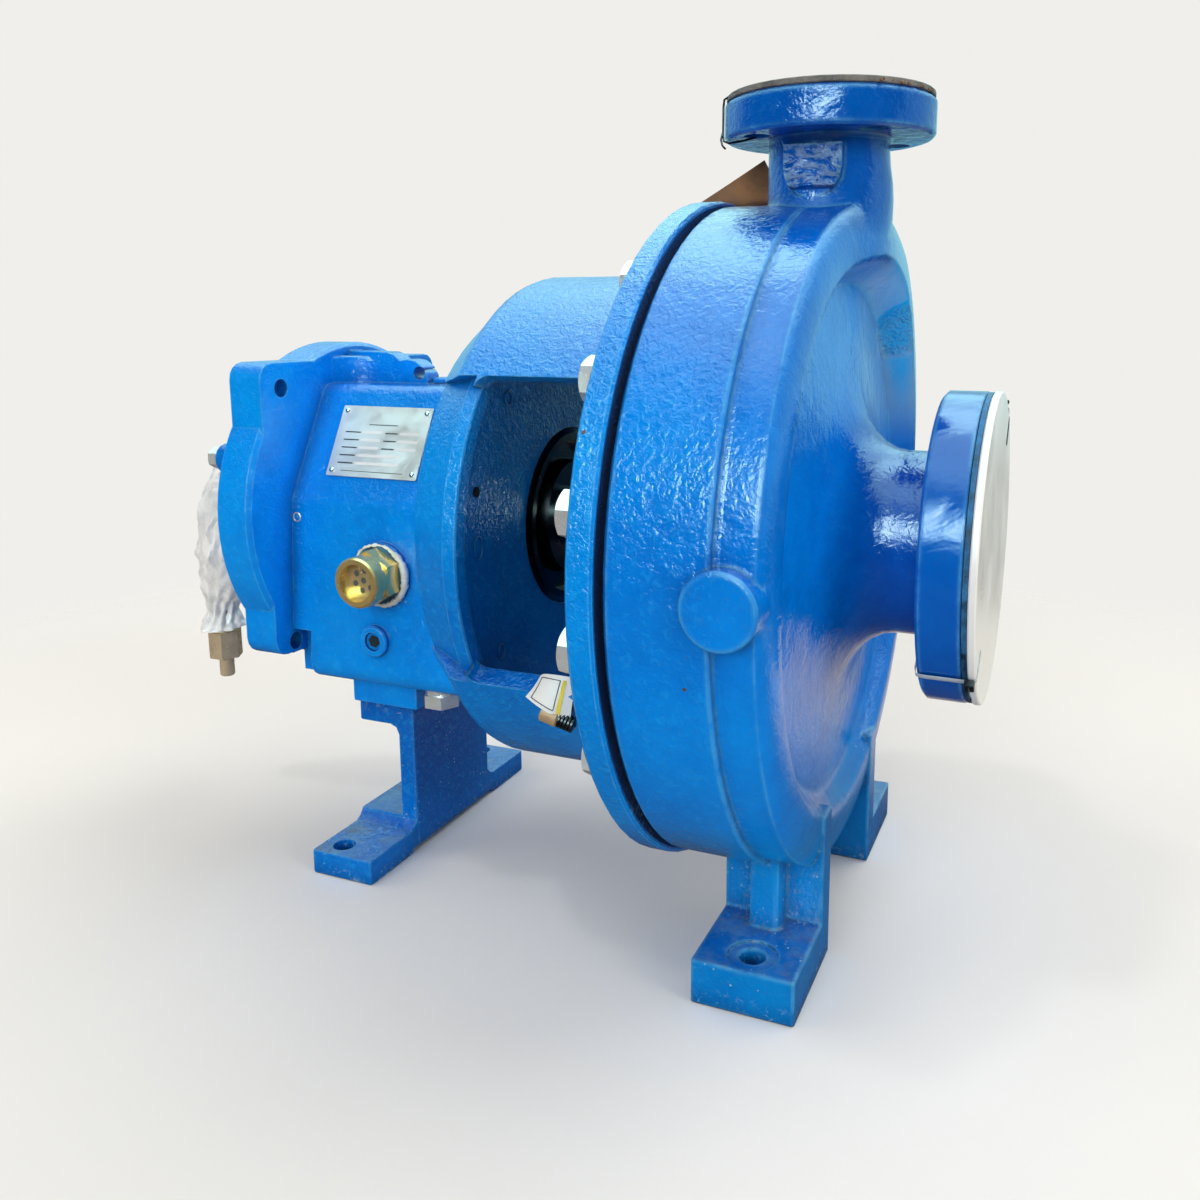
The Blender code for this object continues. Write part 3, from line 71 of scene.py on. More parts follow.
class Shape:
    """A mesh that is put together from turned, hexagonal, tubular and flat forms."""

    def __init__(self):
        self.v = []
        self.f = []

    def rings(self, rings, ends=(False, False)):
        """Skins a row of rings that have the same number of points."""
        first = len(self.v)
        n = len(rings[0])
        for ring in rings:
            self.v.extend(ring)
        count = len(rings)
        for i in range(count - 1):
            for j in range(n):
                a = first + i * n + j
                b = first + i * n + (j + 1) % n
                c = first + (i + 1) * n + (j + 1) % n
                d = first + (i + 1) * n + j
                self.f.append((a, b, c, d))
        if ends[0]:
            self.f.append(tuple(first + j for j in reversed(range(n))))
        if ends[1]:
            self.f.append(tuple(first + (count - 1) * n + j for j in range(n)))
        return self

    def spin(self, profile, m, n=40):
        """Turns (radius, height) pairs about z of the matrix m."""
        out = []
        for r, h in profile:
            ring = []
            for j in range(n):
                a = 2 * math.pi * j / n
                rr = max(r, 1e-6)
                ring.append(m @ Vector((rr * math.cos(a), rr * math.sin(a), h)))
            out.append(ring)
        return self.rings(out, (True, True))

    def hexagon(self, m, flats, height, chamfer=0.55):
        """A chamfered hexagon head or nut standing on z = 0 of the matrix m."""
        n = 36
        half = flats / 2
        angles = [2 * math.pi * j / n for j in range(n)]
        reach = [half / math.cos((a + math.pi / 6) % (math.pi / 3) - math.pi / 6) for a in angles]

        def ring(radii, heights):
            return [m @ Vector((r * math.cos(a), r * math.sin(a), h)) for a, r, h in zip(angles, radii, heights)]

        top = [height - (r - half * 0.95) * chamfer for r in reach]
        out = [ring([half * 0.97] * n, [0] * n), ring(reach, [(r - half) * 0.3 for r in reach]), ring(reach, top),
            ring([half * 0.93] * n, [height] * n)]
        return self.rings(out, (True, True))

    def tube(self, path, radius, n=10, flat=None, ends=(True, True)):
        """A round tube or flat strap along a path; flat = (width, thickness, direction of the width)."""
        pts = [Vector(p) for p in path]
        out = []
        side = None
        for i, p in enumerate(pts):
            t = (pts[min(i + 1, len(pts) - 1)] - pts[max(i - 1, 0)]).normalized()
            if flat:
                w = Vector(flat[2]).normalized()
                w = (w - t * w.dot(t)).normalized()
                u = t.cross(w)
                a, b = flat[0] / 2, flat[1] / 2
                out.append([p + w * x * a + u * y * b for x, y in STRAP])
                continue
            if side is None:
                side = t.orthogonal().normalized()
            side = (side - t * side.dot(t)).normalized()
            other = t.cross(side)
            r = radius(i / (len(pts) - 1)) if callable(radius) else radius
            out.append([p + side * r * math.cos(2 * math.pi * j / n) + other * r * math.sin(2 * math.pi * j / n)
                    for j in range(n)])
        return self.rings(out, ends)

    def plate(self, m, width, height, thick, corner, edge=0.0002, n=6):
        """A plate with round corners and softened edges, standing on z = 0 of the matrix m."""

        def outline(inset, h):
            r = max(corner - inset, 1e-5)
            pts = []
            for cx, cy, start in ((1, 1, 0), (-1, 1, 90), (-1, -1, 180), (1, -1, 270)):
                for k in range(n + 1):
                    a = math.radians(start + 90 * k / n)
                    pts.append(m @ Vector((cx * (width / 2 - corner) + r * math.cos(a),
                                cy * (height / 2 - corner) + r * math.sin(a), h)))
            return pts

        return self.rings([outline(edge, 0), outline(0, edge), outline(0, thick - edge), outline(edge, thick)],
            (True, True))

    def grid(self, points, thick):
        """A sheet through rows of points, given a thickness along its own normals."""
        rows, cols = len(points), len(points[0])
        normals = []
        for i in range(rows):
            for j in range(cols):
                du = points[min(i + 1, rows - 1)][j] - points[max(i - 1, 0)][j]
                dv = points[i][min(j + 1, cols - 1)] - points[i][max(j - 1, 0)]
                normals.append(du.cross(dv).normalized())
        first = len(self.v)
        for s in (0.5, -0.5):
            for i in range(rows):
                for j in range(cols):
                    self.v.append(points[i][j] + normals[i * cols + j] * thick * s)
        back = first + rows * cols
        for i in range(rows - 1):
            for j in range(cols - 1):
                a = i * cols + j
                self.f.append((first + a, first + a + 1, first + a + cols + 1, first + a + cols))
                self.f.append((back + a + cols, back + a + cols + 1, back + a + 1, back + a))
        rim = [j for j in range(cols)] + [i * cols + cols - 1 for i in range(1, rows)]
        rim += [(rows - 1) * cols + j for j in range(cols - 2, -1, -1)] + [i * cols for i in range(rows - 2, 0, -1)]
        for k, a in enumerate(rim):
            b = rim[(k + 1) % len(rim)]
            self.f.append((first + b, first + a, back + a, back + b))
        return self

    def make(self, name, material, body, slot, angle=32):
        mesh = bpy.data.meshes.new(name)
        mesh.from_pydata(self.v, [], self.f)
        mesh.validate()
        mesh.polygons.foreach_set("use_smooth", [True] * len(mesh.polygons))
        mesh.set_sharp_from_angle(angle=math.radians(angle))
        mesh.materials.append(material)
        obj = bpy.data.objects.new(name, mesh)
        bpy.context.scene.collection.objects.link(obj)
        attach(obj, body)
        return obj


class Look:
    """A node material under construction. Every texture is read in the row frame, in metres."""

    def __init__(self, name, color=(0.5, 0.5, 0.5), rough=0.4, metal=0.0):
        self.m = bpy.data.materials.new(name)
        self.m.use_nodes = True
        self.t = self.m.node_tree
        self.bsdf = self.t.nodes["Principled BSDF"]
        self.set(**{"Base Color": (*color, 1), "Roughness": rough, "Metallic": metal})
        self.pos = self.t.nodes.new("ShaderNodeTexCoord").outputs["Object"]

    def set(self, **values):
        for key, value in values.items():
            self.put(self.bsdf.inputs[key], value)

    def put(self, socket, value):
        if isinstance(value, bpy.types.NodeSocket):
            self.t.links.new(value, socket)
        else:
            socket.default_value = value

    def node(self, kind, out, attrs=None, **inputs):
        n = self.t.nodes.new(kind)
        for key, value in (attrs or {}).items():
            setattr(n, key, value)
        for key, value in inputs.items():
            self.put(n.inputs[key.replace("_", " ")], value)
        return n.outputs[out]

    def noise(self, scale, detail=3.0, rough=0.5, warp=0.0, vec=None):
        return self.node("ShaderNodeTexNoise", "Fac", Vector=vec or self.pos, Scale=scale, Detail=detail,
            Roughness=rough, Distortion=warp)

    def cells(self, scale, feature="F1", vec=None):
        return self.node("ShaderNodeTexVoronoi", "Distance", {"feature": feature}, Vector=vec or self.pos,
            Scale=scale)

    def stretch(self, x, y, z):
        return self.node("ShaderNodeMapping", "Vector", Vector=self.pos, Scale=(x, y, z))

    def axis(self, name):
        n = self.t.nodes.new("ShaderNodeSeparateXYZ")
        self.put(n.inputs[0], self.pos)
        return n.outputs[name]

    def math(self, op, a, b=0.0, c=0.0):
        n = self.t.nodes.new("ShaderNodeMath")
        n.operation = op
        for socket, value in zip(n.inputs, (a, b, c)):
            self.put(socket, value)
        return n.outputs[0]

    def times(self, first, *others):
        for other in others:
            first = self.math("MULTIPLY", first, other)
        return first

    def plus(self, first, *others):
        for other in others:
            first = self.math("ADD", first, other)
        return first

    def distance(self, point):
        n = self.node("ShaderNodeVectorMath", "Value", {"operation": "DISTANCE"}, Vector=self.pos)
        n.node.inputs[1].default_value = point
        return n

    def step(self, value, low, high, a=0.0, b=1.0):
        """Eases from a to b as the value goes from low to high."""
        n = self.t.nodes.new("ShaderNodeMapRange")
        n.interpolation_type = "SMOOTHSTEP"
        for key, v in (("Value", value), ("From Min", low), ("From Max", high), ("To Min", a), ("To Max", b)):
            self.put(n.inputs[key], v)
        return n.outputs["Result"]

    def ramp(self, fac, *stops):
        n = self.t.nodes.new("ShaderNodeValToRGB")
        self.put(n.inputs["Fac"], fac)
        while len(n.color_ramp.elements) < len(stops):
            n.color_ramp.elements.new(0.5)
        for e, (place, color) in zip(n.color_ramp.elements, stops):
            e.position = place
            e.color = (*color, 1)
        return n.outputs["Color"]

    def mix(self, fac, a, b, blend="MIX"):
        n = self.t.nodes.new("ShaderNodeMix")
        n.data_type = "RGBA"
        n.blend_type = blend
        for i, value in ((0, fac), (6, a), (7, b)):
            if isinstance(value, tuple) and len(value) == 3:
                value = (*value, 1)
            self.put(n.inputs[i], value)
        return n.outputs[2]

    def bump(self, height, distance, strength=1.0, normal=None):
        n = self.t.nodes.new("ShaderNodeBump")
        for key, v in (("Height", height), ("Distance", distance), ("Strength", strength)):
            self.put(n.inputs[key], v)
        if normal:
            self.put(n.inputs["Normal"], normal)
        return n.outputs["Normal"]


# Shades of the enamel and of what lies on it, and of the light and shade painted on it.
DEEP = (0.0, 0.135, 0.58)
MID = (0.0, 0.200, 0.740)
PALE = (0.001, 0.265, 0.860)
PAINTED_PEEL_GLITTER = (0.02, 0.46, 1.0)
PAINTED_GLINT = (0.22, 0.80, 1.0)
THIN_EDGE_AND_HIGHLIGHT = (0.16, 0.62, 0.92)
CREASE_SHADE = (0.0, 0.035, 0.17)
GROOVE_SHADE = (0.0, 0.006, 0.035)
PAINTED_DISH_LIGHT = (0.30, 0.62, 0.84)
PAINTED_UNDERSIDE_LIGHT = (0.0, 0.46, 1.0)
DUST_FILM = (0.24, 0.46, 0.56)
SPECK = (0.30, 0.62, 0.80)
SCRATCH = (0.42, 0.52, 0.56)
PALE_GRIT = (0.34, 0.52, 0.60)
BROWN_GRIT = (0.16, 0.11, 0.07)
PRIMER = (0.10, 0.045, 0.025)
DIRT = (0.12, 0.10, 0.075)
# Factors of painted shade: darker upward faces, darker neck and flanges, and darker towards the floor.
UPWARD_SHADE = (1.0, 0.66, 0.84)
FLANGE_SHADE = (1.0, 0.46, 0.60)
LOW_SHADE = (1.0, 0.84, 0.74)


class Enamel(Look):
    """Thick glossy blue enamel over a sand casting."""

    def __init__(self, name, tint=(1.0, 1.0), round_by=0.0013, seed=0.0):
        super().__init__(name, MID)
        self.place = self.node("ShaderNodeMapping", "Vector", Vector=self.pos,
            Location=(seed, seed * 0.7, seed * 0.3))
        self.x, self.y, self.z = self.axis("X"), self.axis("Y"), self.axis("Z")
        self.facing = self.node("ShaderNodeSeparateXYZ", "Z", Vector=self.node("ShaderNodeNewGeometry", "Normal"))
        self.rounded = self.node("ShaderNodeBevel", "Normal", {"samples": 3}, Radius=round_by)
        self.gloss = 0.1
        tone = self.plus(self.times(self.spots(6.5, 4, 0.55, 0.3), 0.8), self.times(self.spots(70, 4, 0.6), 0.2))
        # Painted light and shade: the tint makes the same blue lighter or darker casting by casting.
        shades = [(c[0], c[1] * tint[0], min(1.0, c[2] * tint[1])) for c in (DEEP, MID, PALE)]
        self.color = self.ramp(tone, *zip((0.33, 0.50, 0.68), shades))

    def spots(self, scale, detail, rough, warp=0.0):
        return self.noise(scale, detail, rough, warp, self.place)

    def paint(self, share, color, blend="MIX"):
        self.color = self.mix(share, self.color, color, blend)

    def relief(self, peel, ripple, smooth_beyond, rough_pad, rough_spot):
        """Orange peel, pits and ripples, and the faces that the foundry left rough, with a painted highlight on the
        crests of the peel.
        """
        keep = 1.0
        if smooth_beyond is not None:
            keep = self.step(self.x, smooth_beyond - 0.0012, smooth_beyond, 0.5, 0.08)
            rim = self.step(self.x, smooth_beyond - 0.0760, smooth_beyond - 0.0720, 1.0, 0.0)
            keep = self.math("MAXIMUM", keep, rim)
        sand = self.spots(235, 3, 0.55, 0.8)
        grain = self.spots(620, 2, 0.5, 0.2)
        height = self.times(self.plus(self.times(sand, peel), self.times(grain, peel * 0.28)), keep)
        # Painted highlight: paler blue on the crests of the peel stands in for glitter.
        self.paint(self.times(self.step(sand, 0.50, 0.70), keep, 0.34 * peel), PAINTED_PEEL_GLITTER)
        if rough_pad:
            height = self.plus(height, self.rough_faces(rough_pad, rough_spot))
        pits = self.step(self.cells(95, vec=self.place), 0.02, 0.085)
        rare = self.step(self.spots(24, 2, 0.5), 0.60, 0.66)
        pits = self.math("SUBTRACT", 1.0, self.times(self.math("SUBTRACT", 1.0, pits), rare))
        height = self.plus(height, self.times(pits, 0.30))
        wave = self.bump(self.spots(34, 3, 0.5, 0.9), 0.0016 * ripple, 1.0, self.rounded)
        self.set(Normal=self.bump(height, 0.0014, 0.9, wave))

    def rough_faces(self, rough_pad, rough_spot):
        """Crumpled relief on a flat pad, given as (low z, high z, front y), and round a spot, with a painted
        highlight on its crests.
        """
        low_z, high_z, front_y = rough_pad
        share = self.times(self.step(self.z, low_z - 0.003, low_z), self.step(self.y, front_y, front_y - 0.0006))
        share = self.times(share, self.step(self.z, high_z, high_z - 0.0015))
        if rough_spot:
            share = self.math("MAXIMUM", share, self.step(self.distance(rough_spot), 0.018, 0.031, 0.7, 0.0))
        folds = self.noise(85, 3, 0.5, 2.2, self.stretch(0.8, 0.8, 1.7))
        crust = self.plus(folds, self.times(self.spots(260, 3, 0.6, 0.6), 0.35))
        # Painted highlight: pale cyan on the crests of the crumple.
        self.paint(self.times(share, self.step(crust, 0.58, 0.74, 0.0, 0.80)), PAINTED_GLINT)
        return self.times(crust, 5.0, share)

    def wear(self, rough, dirt):
        """Painted shade on upward faces; dust on upward faces near the floor, pale specks, soil and chips, and the
        gloss that they leave.
        """
        low = self.step(self.z, 0.0, 0.11, 1.0, 0.0)
        upward = self.step(self.facing, 0.5, 0.95)
        # Painted shade: upward faces are made darker.
        self.paint(self.step(self.facing, 0.30, 0.85), UPWARD_SHADE, "MULTIPLY")
        self.paint(self.times(low, upward, self.step(self.spots(60, 5, 0.65, 0.4), 0.40, 0.70, 0.0, 0.30)), DUST_FILM)
        size = self.step(self.spots(38, 3, 0.6), 0.42, 0.66, 0.03, 0.15)
        specks = self.math("LESS_THAN", self.cells(230, vec=self.place), size)
        self.paint(self.times(self.step(self.z, 0.115, 0.085), specks), SPECK)
        soil = self.times(low, self.step(self.spots(30, 6, 0.65, 0.5), 0.50, 0.66), upward, dirt)
        dust = self.times(self.step(self.spots(420, 2, 0.6), 0.60, 0.72), 0.10)
        self.paint(self.math("MAXIMUM", soil, dust), DIRT)
        chips = self.math("LESS_THAN", self.cells(34, vec=self.place), 0.040)
        chips = self.times(chips, self.step(self.spots(9, 2, 0.5), 0.56, 0.60))
        self.paint(chips, PRIMER)
        gloss = self.step(self.spots(16, 4, 0.6), 0.35, 0.70, *rough)
        self.gloss = self.plus(gloss, self.times(self.math("MAXIMUM", soil, chips), 0.4))

    def shade_groove(self, low_x, high_x, reach):
        """Paints shade on the faces inside a groove round the shaft, between two stations and within a radius."""
        raised = self.node("ShaderNodeMapping", "Vector", Vector=self.pos, Location=(0, 0, -SHAFT))
        across = self.node("ShaderNodeVectorMath", "Vector", {"operation": "MULTIPLY"}, Vector=raised)
        across.node.inputs[1].default_value = (0, 1, 1)
        radius = self.node("ShaderNodeVectorMath", "Value", {"operation": "LENGTH"}, Vector=across)
        inside = self.times(self.math("GREATER_THAN", self.x, low_x), self.math("LESS_THAN", self.x, high_x))
        inside = self.times(inside, self.step(radius, reach, reach - 0.0004))
        # Painted shade: near black inside the groove at the adapter's joint with the casing.
        self.paint(inside, GROOVE_SHADE)
        self.gloss = self.plus(self.gloss, self.times(inside, 0.6))

    def shade_casing(self, low_x, high_x, low_z, high_z):
        """Paints shade on neck, nozzle, flanges and feet, and paints light on the upper far part of the dish and its
        downward faces.
        """
        end = self.math("MAXIMUM", self.step(self.x, low_x, high_x), self.step(self.z, low_z, high_z))
        # Painted shade: neck, nozzle and flanges are made darker.
        self.paint(end, FLANGE_SHADE, "MULTIPLY")
        # Painted shade: darker towards the floor.
        self.paint(self.step(self.z, 0.13, 0.08), LOW_SHADE, "MULTIPLY")
        lit_dish = self.times(self.step(self.x, low_x, low_x + 0.012), self.step(self.x, high_x + 0.012, high_x))
        lit_dish = self.times(lit_dish, self.step(self.y, 0.0, 0.05), self.step(self.z, 0.29, 0.34))
        # Painted light: paler blue on the upper far part of the casing's dish.
        self.paint(self.times(lit_dish, 0.50), PAINTED_DISH_LIGHT)
        # Painted light: the dish's downward faces there are made bright blue.
        self.paint(self.times(lit_dish, self.step(self.facing, -0.30, -0.60)), PAINTED_UNDERSIDE_LIGHT)

    def scratch(self):
        """Pale wandering scratches on the upper part of the foot's web."""
        bend = self.node("ShaderNodeTexNoise", "Color", Vector=self.pos, Scale=14.0, Detail=2.0)
        bent = self.node("ShaderNodeVectorMath", "Vector", {"operation": "MULTIPLY_ADD"}, Vector=bend)
        bent.node.inputs[1].default_value = (0.05, 0.05, 0.05)
        self.put(bent.node.inputs[2], self.stretch(0.5, 0.5, 1.6))
        line = self.math("LESS_THAN", self.cells(30, "DISTANCE_TO_EDGE", bent), 0.010)
        line = self.times(line, self.step(self.spots(40, 3, 0.6, 0.4), 0.52, 0.60))
        line = self.times(line, self.step(self.z, 0.095, 0.105), self.step(self.z, 0.150, 0.140))
        self.paint(line, SCRATCH)

    def edges(self):
        """Paler edges, partly thin paint and partly a painted highlight, found where the rounded normal leaves the
        true one.
        """
        along = self.node("ShaderNodeVectorMath", "Value", {"operation": "DOT_PRODUCT"}, Vector=self.rounded)
        self.put(along.node.inputs[1], self.node("ShaderNodeNewGeometry", "True Normal"))
        patchy = self.step(self.spots(55, 4, 0.6, 0.3), 0.38, 0.58, 0.25, 0.75)
        # Partly thin paint, partly a painted highlight along the rounded edges.
        self.paint(self.times(self.step(along, 0.972, 0.900), patchy), THIN_EDGE_AND_HIGHLIGHT)

    def creases(self, dirt):
        """Painted shade in creases, found by ambient occlusion, and grit in those near the floor."""
        open_sky = self.node("ShaderNodeAmbientOcclusion", "AO", {"samples": 2}, Distance=0.014)
        # Painted shade: darker blue where ambient occlusion finds a crease.
        self.paint(self.step(open_sky, 0.35, 0.85, 0.62, 0.0), CREASE_SHADE)
        grit = self.times(self.step(open_sky, 0.92, 0.70), self.step(self.z, 0.19, 0.10))
        grit = self.times(grit, self.step(self.spots(230, 5, 0.7, 0.8), 0.55, 0.62), dirt)
        self.paint(grit, self.mix(self.step(self.spots(45, 2, 0.5), 0.50, 0.60), PALE_GRIT, BROWN_GRIT))


def enamel(name, peel, ripple, rough=(0.06, 0.14), dirt=0.35, smooth_beyond=None, rough_pad=None, rough_spot=None,
           groove=None, shaded=None, scratched=False, **coat):
    """An enamel for one casting. The places in its options are metres in the row frame."""
    k = Enamel(name, **coat)
    k.relief(peel, ripple, smooth_beyond, rough_pad, rough_spot)
    k.wear(rough, dirt)
    if groove:
        k.shade_groove(*groove)
    if shaded:
        k.shade_casing(*shaded)
    if scratched:
        k.scratch()
    k.edges()
    k.creases(dirt)
    k.set(**{"Base Color": k.color, "Roughness": k.gloss, "Specular IOR Level": 0.5})
    return k.m


def metal(name, color, rough, metallic=1.0, streak=(0, 0, 0), tint=None, bump=0.0, wear=0.3):
    """Bare metal with machining streaks, smears and darker stains."""
    k = Look(name, color, rough, metallic)
    base = k.noise(60, 4, 0.6, 0.3)
    dark = tuple(c * 0.55 for c in color)
    c = k.mix(k.step(base, 0.35, 0.75), color, tint or dark)
    stain = k.math("MULTIPLY", k.step(k.noise(150, 5, 0.7, 0.6), 0.55, 0.75), wear)
    c = k.mix(stain, c, tuple(v * 0.30 for v in color))
    fine = k.noise(900, 3, 0.6, 0.0, k.stretch(*streak)) if any(streak) else k.noise(900, 3, 0.6)
    r = k.math("ADD", k.step(base, 0.3, 0.7, rough * 0.75, rough * 1.25), k.math("MULTIPLY", stain, 0.25))
    k.set(**{"Base Color": c, "Roughness": r})
    if bump:
        k.set(Normal=k.bump(fine, bump, 0.6))
    return k.m


def plastic(name, color, rough, vary=0.12, bump=0.0003, scale=260, coat=0.0):
    """Moulded plastic, rubber or paper pulp with mottling and a fine surface."""
    k = Look(name, color, rough)
    spot = k.noise(scale * 0.18, 5, 0.6, 0.2)
    dark = tuple(v * (1 - vary * 2) for v in color)
    light = tuple(min(1.0, v * (1 + vary)) for v in color)
    k.set(**{"Base Color": k.ramp(spot, (0.35, dark), (0.65, light)),
            "Roughness": k.step(spot, 0.3, 0.7, rough * 0.8, min(1, rough * 1.2)),
            "Normal": k.bump(k.noise(scale, 4, 0.6), bump, 0.6)})
    k.bsdf.inputs["Coat Weight"].default_value = coat
    return k.m


def smooth(node, angle=34):
    """Welds the imported triangles and shades them smooth, apart from the sharp edges."""
    obj = NODES[node]
    mesh = obj.data
    for name in ("sharp_edge", "sharp_face", "custom_normal"):
        if name in mesh.attributes:
            mesh.attributes.remove(mesh.attributes[name])
    mesh.polygons.foreach_set("use_smooth", [True] * len(mesh.polygons))
    weld = obj.modifiers.new("weld", "WELD")
    weld.merge_threshold = 0.00002
    split = obj.modifiers.new("edges", "EDGE_SPLIT")
    split.split_angle = math.radians(angle)
    split.use_edge_sharp = False
    normal = obj.modifiers.new("normals", "WEIGHTED_NORMAL")
    normal.keep_sharp = True
    normal.weight = 80


def dress(material, *names, angle=34):
    """Gives the imported solids of these nodes their finish."""
    for name in names:
        obj = NODES[name]
        obj.data.materials.clear()
        obj.data.materials.append(material)
        smooth(name, angle)


# Camera: fitted to the photograph's own edges, seen from the suction end's near side.

YAW = math.radians(22.30)
PITCH = math.radians(-9.97)
CAMERA_AT = Vector((0.0619 + OFF, -0.6669, 0.3943))
PHOTO_SIDE = 1200
FOCAL_PIXELS = 1066.7
CENTRE_U, CENTRE_V = 662.2, 502.7
forward = Vector((-math.sin(YAW) * math.cos(PITCH), math.cos(YAW) * math.cos(PITCH), math.sin(PITCH)))
right = Vector((math.cos(YAW), math.sin(YAW), 0))
up = right.cross(forward)
lens = bpy.data.cameras.new("camera")
camera = bpy.data.objects.new("camera", lens)
bpy.context.scene.collection.objects.link(camera)
place = Matrix((right, up, -forward)).transposed().to_4x4()
place.translation = CAMERA_AT
camera.matrix_world = place
lens.sensor_width = 36
lens.lens = FOCAL_PIXELS / PHOTO_SIDE * lens.sensor_width
lens.shift_x = -(CENTRE_U - PHOTO_SIDE / 2) / PHOTO_SIDE
lens.shift_y = (CENTRE_V - PHOTO_SIDE / 2) / PHOTO_SIDE
lens.clip_start = 0.02
bpy.context.scene.camera = camera
bpy.context.scene.view_settings.view_transform = "Standard"

# Studio: pale floor that fades into the pale surround, soft lamps, and a shell that only gloss sees.

BACK = (0.8713, 0.8632, 0.8308)


def stage_object(name, verts, faces, material):
    mesh = bpy.data.meshes.new(name)
    mesh.from_pydata(verts, [], faces)
    mesh.polygons.foreach_set("use_smooth", [True] * len(mesh.polygons))
    mesh.materials.append(material)
    obj = bpy.data.objects.new(name, mesh)
    bpy.context.scene.collection.objects.link(obj)
    return obj


def seen_ray(k):
    """1 where the camera sees the surface, directly, mirrored or through glass."""
    n = k.t.nodes.new("ShaderNodeLightPath")
    seen = k.math("MAXIMUM", n.outputs["Is Camera Ray"], n.outputs["Is Glossy Ray"])
    return k.math("MAXIMUM", seen, n.outputs["Is Transmission Ray"])


def floor():
    k = Look("floor", (0.955, 0.945, 0.905), 0.9)
    k.bsdf.inputs["Specular IOR Level"].default_value = 0.0
    k.set(**{"Base Color": k.mix(seen_ray(k), (0.50, 0.49, 0.46), (0.948, 0.930, 0.880))})
    reach = k.node("ShaderNodeVectorMath", "Value", {"operation": "LENGTH"}, Vector=k.pos)
    clear = k.node("ShaderNodeBsdfTransparent", "BSDF")
    mixer = k.t.nodes.new("ShaderNodeMixShader")
    k.put(mixer.inputs[0], k.step(reach, 0.52, 1.15, 1.0, 0.0))
    k.put(mixer.inputs[1], clear)
    k.put(mixer.inputs[2], k.bsdf.outputs[0])
    k.t.links.new(mixer.outputs[0], k.t.nodes["Material Output"].inputs["Surface"])
    n = 64
    verts = [(2.2 * math.cos(2 * math.pi * j / n), 2.2 * math.sin(2 * math.pi * j / n), -0.0002) for j in range(n)]
    return stage_object("floor", verts, [tuple(range(n))], k.m)


def shell():
    """A large shell that only glossy rays see: bright window behind the camera, soft sky overhead, dim walls."""
    k = Look("studio_shell")
    unit = k.node("ShaderNodeVectorMath", "Vector", {"operation": "NORMALIZE"}, Vector=k.pos)
    part = k.t.nodes.new("ShaderNodeSeparateXYZ")
    k.put(part.inputs[0], unit)
    x, y, z = part.outputs

    def blob(direction, inner, outer):
        d = k.node("ShaderNodeVectorMath", "Value", {"operation": "DOT_PRODUCT"}, Vector=unit)
        d.node.inputs[1].default_value = Vector(direction).normalized()
        return k.step(d, math.cos(math.radians(outer)), math.cos(math.radians(inner)))

    distant = k.step(y, -0.05, 0.25)
    ground = k.step(z, -0.34, -0.20, 0.80, 0.03)
    horizon = k.math("MULTIPLY", k.math("MULTIPLY", distant, k.step(z, -0.09, 0.0)), 0.85)
    sky = k.step(z, 0.66, 0.93, 0.0, 3.6)
    high = k.math("ADD", k.step(z, 0.30, 0.60, 0.0, 2.8), k.step(z, 0.72, 0.93, 0.0, 4.4))
    behind = k.math("MULTIPLY", k.math("MULTIPLY", distant, high), k.step(x, -0.62, -0.25, 0.55, 1.0))
    window = k.math("MULTIPLY", k.math("MULTIPLY", k.step(z, 0.12, 0.26), k.step(z, 0.76, 0.60)),
        blob((0.12, -0.87, 0.47), 11, 23))
    light = k.math("ADD", k.math("MAXIMUM", ground, horizon), k.math("MAXIMUM", sky, behind))
    core = k.math("MULTIPLY", blob((0.12, -0.88, 0.46), 7, 17),
        k.math("MULTIPLY", k.step(z, 0.20, 0.30), k.step(z, 0.68, 0.56)))
    light = k.math("ADD", light, k.math("MULTIPLY", window, 7.5))
    light = k.math("ADD", light, k.math("MULTIPLY", core, 11.0))
    color = k.ramp(k.math("MULTIPLY_ADD", z, 0.5, 0.5), (0.30, (1.0, 0.84, 0.70)), (0.47, (0.40, 0.90, 1.0)),
        (0.75, (0.50, 0.96, 1.0)), (0.95, (0.54, 0.94, 1.0)))
    color = k.mix(core, color, (0.74, 1.0, 1.0))
    glow = k.node("ShaderNodeEmission", "Emission", Color=color, Strength=light)
    k.t.links.new(glow, k.t.nodes["Material Output"].inputs["Surface"])
    verts, faces = [], []
    rows, cols = 24, 48
    for i in range(rows + 1):
        a = math.pi * i / rows
        for j in range(cols):
            b = 2 * math.pi * j / cols
            verts.append((6 * math.sin(a) * math.cos(b), 6 * math.sin(a) * math.sin(b), 6 * math.cos(a)))
    for i in range(rows):
        for j in range(cols):
            faces.append((i * cols + j, i * cols + (j + 1) % cols, (i + 1) * cols + (j + 1) % cols,
                    (i + 1) * cols + j))
    gloss_only(stage_object("studio_shell", verts, faces, k.m))


def gloss_only(obj):
    obj.visible_camera = False
    obj.visible_diffuse = False
    obj.visible_shadow = False
    obj.visible_transmission = False
    obj.visible_volume_scatter = False


def floor_card():
    """A dim card on the floor, seen by gloss alone, with a warm light patch beyond the suction end."""
    k = Look("floor_card")
    patch = k.step(k.distance((0.42, 0.50, 0.0)), 0.20, 0.42, 0.75, 0.07)
    glow = k.node("ShaderNodeEmission", "Emission", Color=(1.0, 0.90, 0.78, 1), Strength=patch)
    k.t.links.new(glow, k.t.nodes["Material Output"].inputs["Surface"])
    n = 48
    verts = [(1.1 * math.cos(2 * math.pi * j / n), 1.1 * math.sin(2 * math.pi * j / n), -0.0001) for j in range(n)]
    gloss_only(stage_object("floor_card", verts, [tuple(range(n))], k.m))


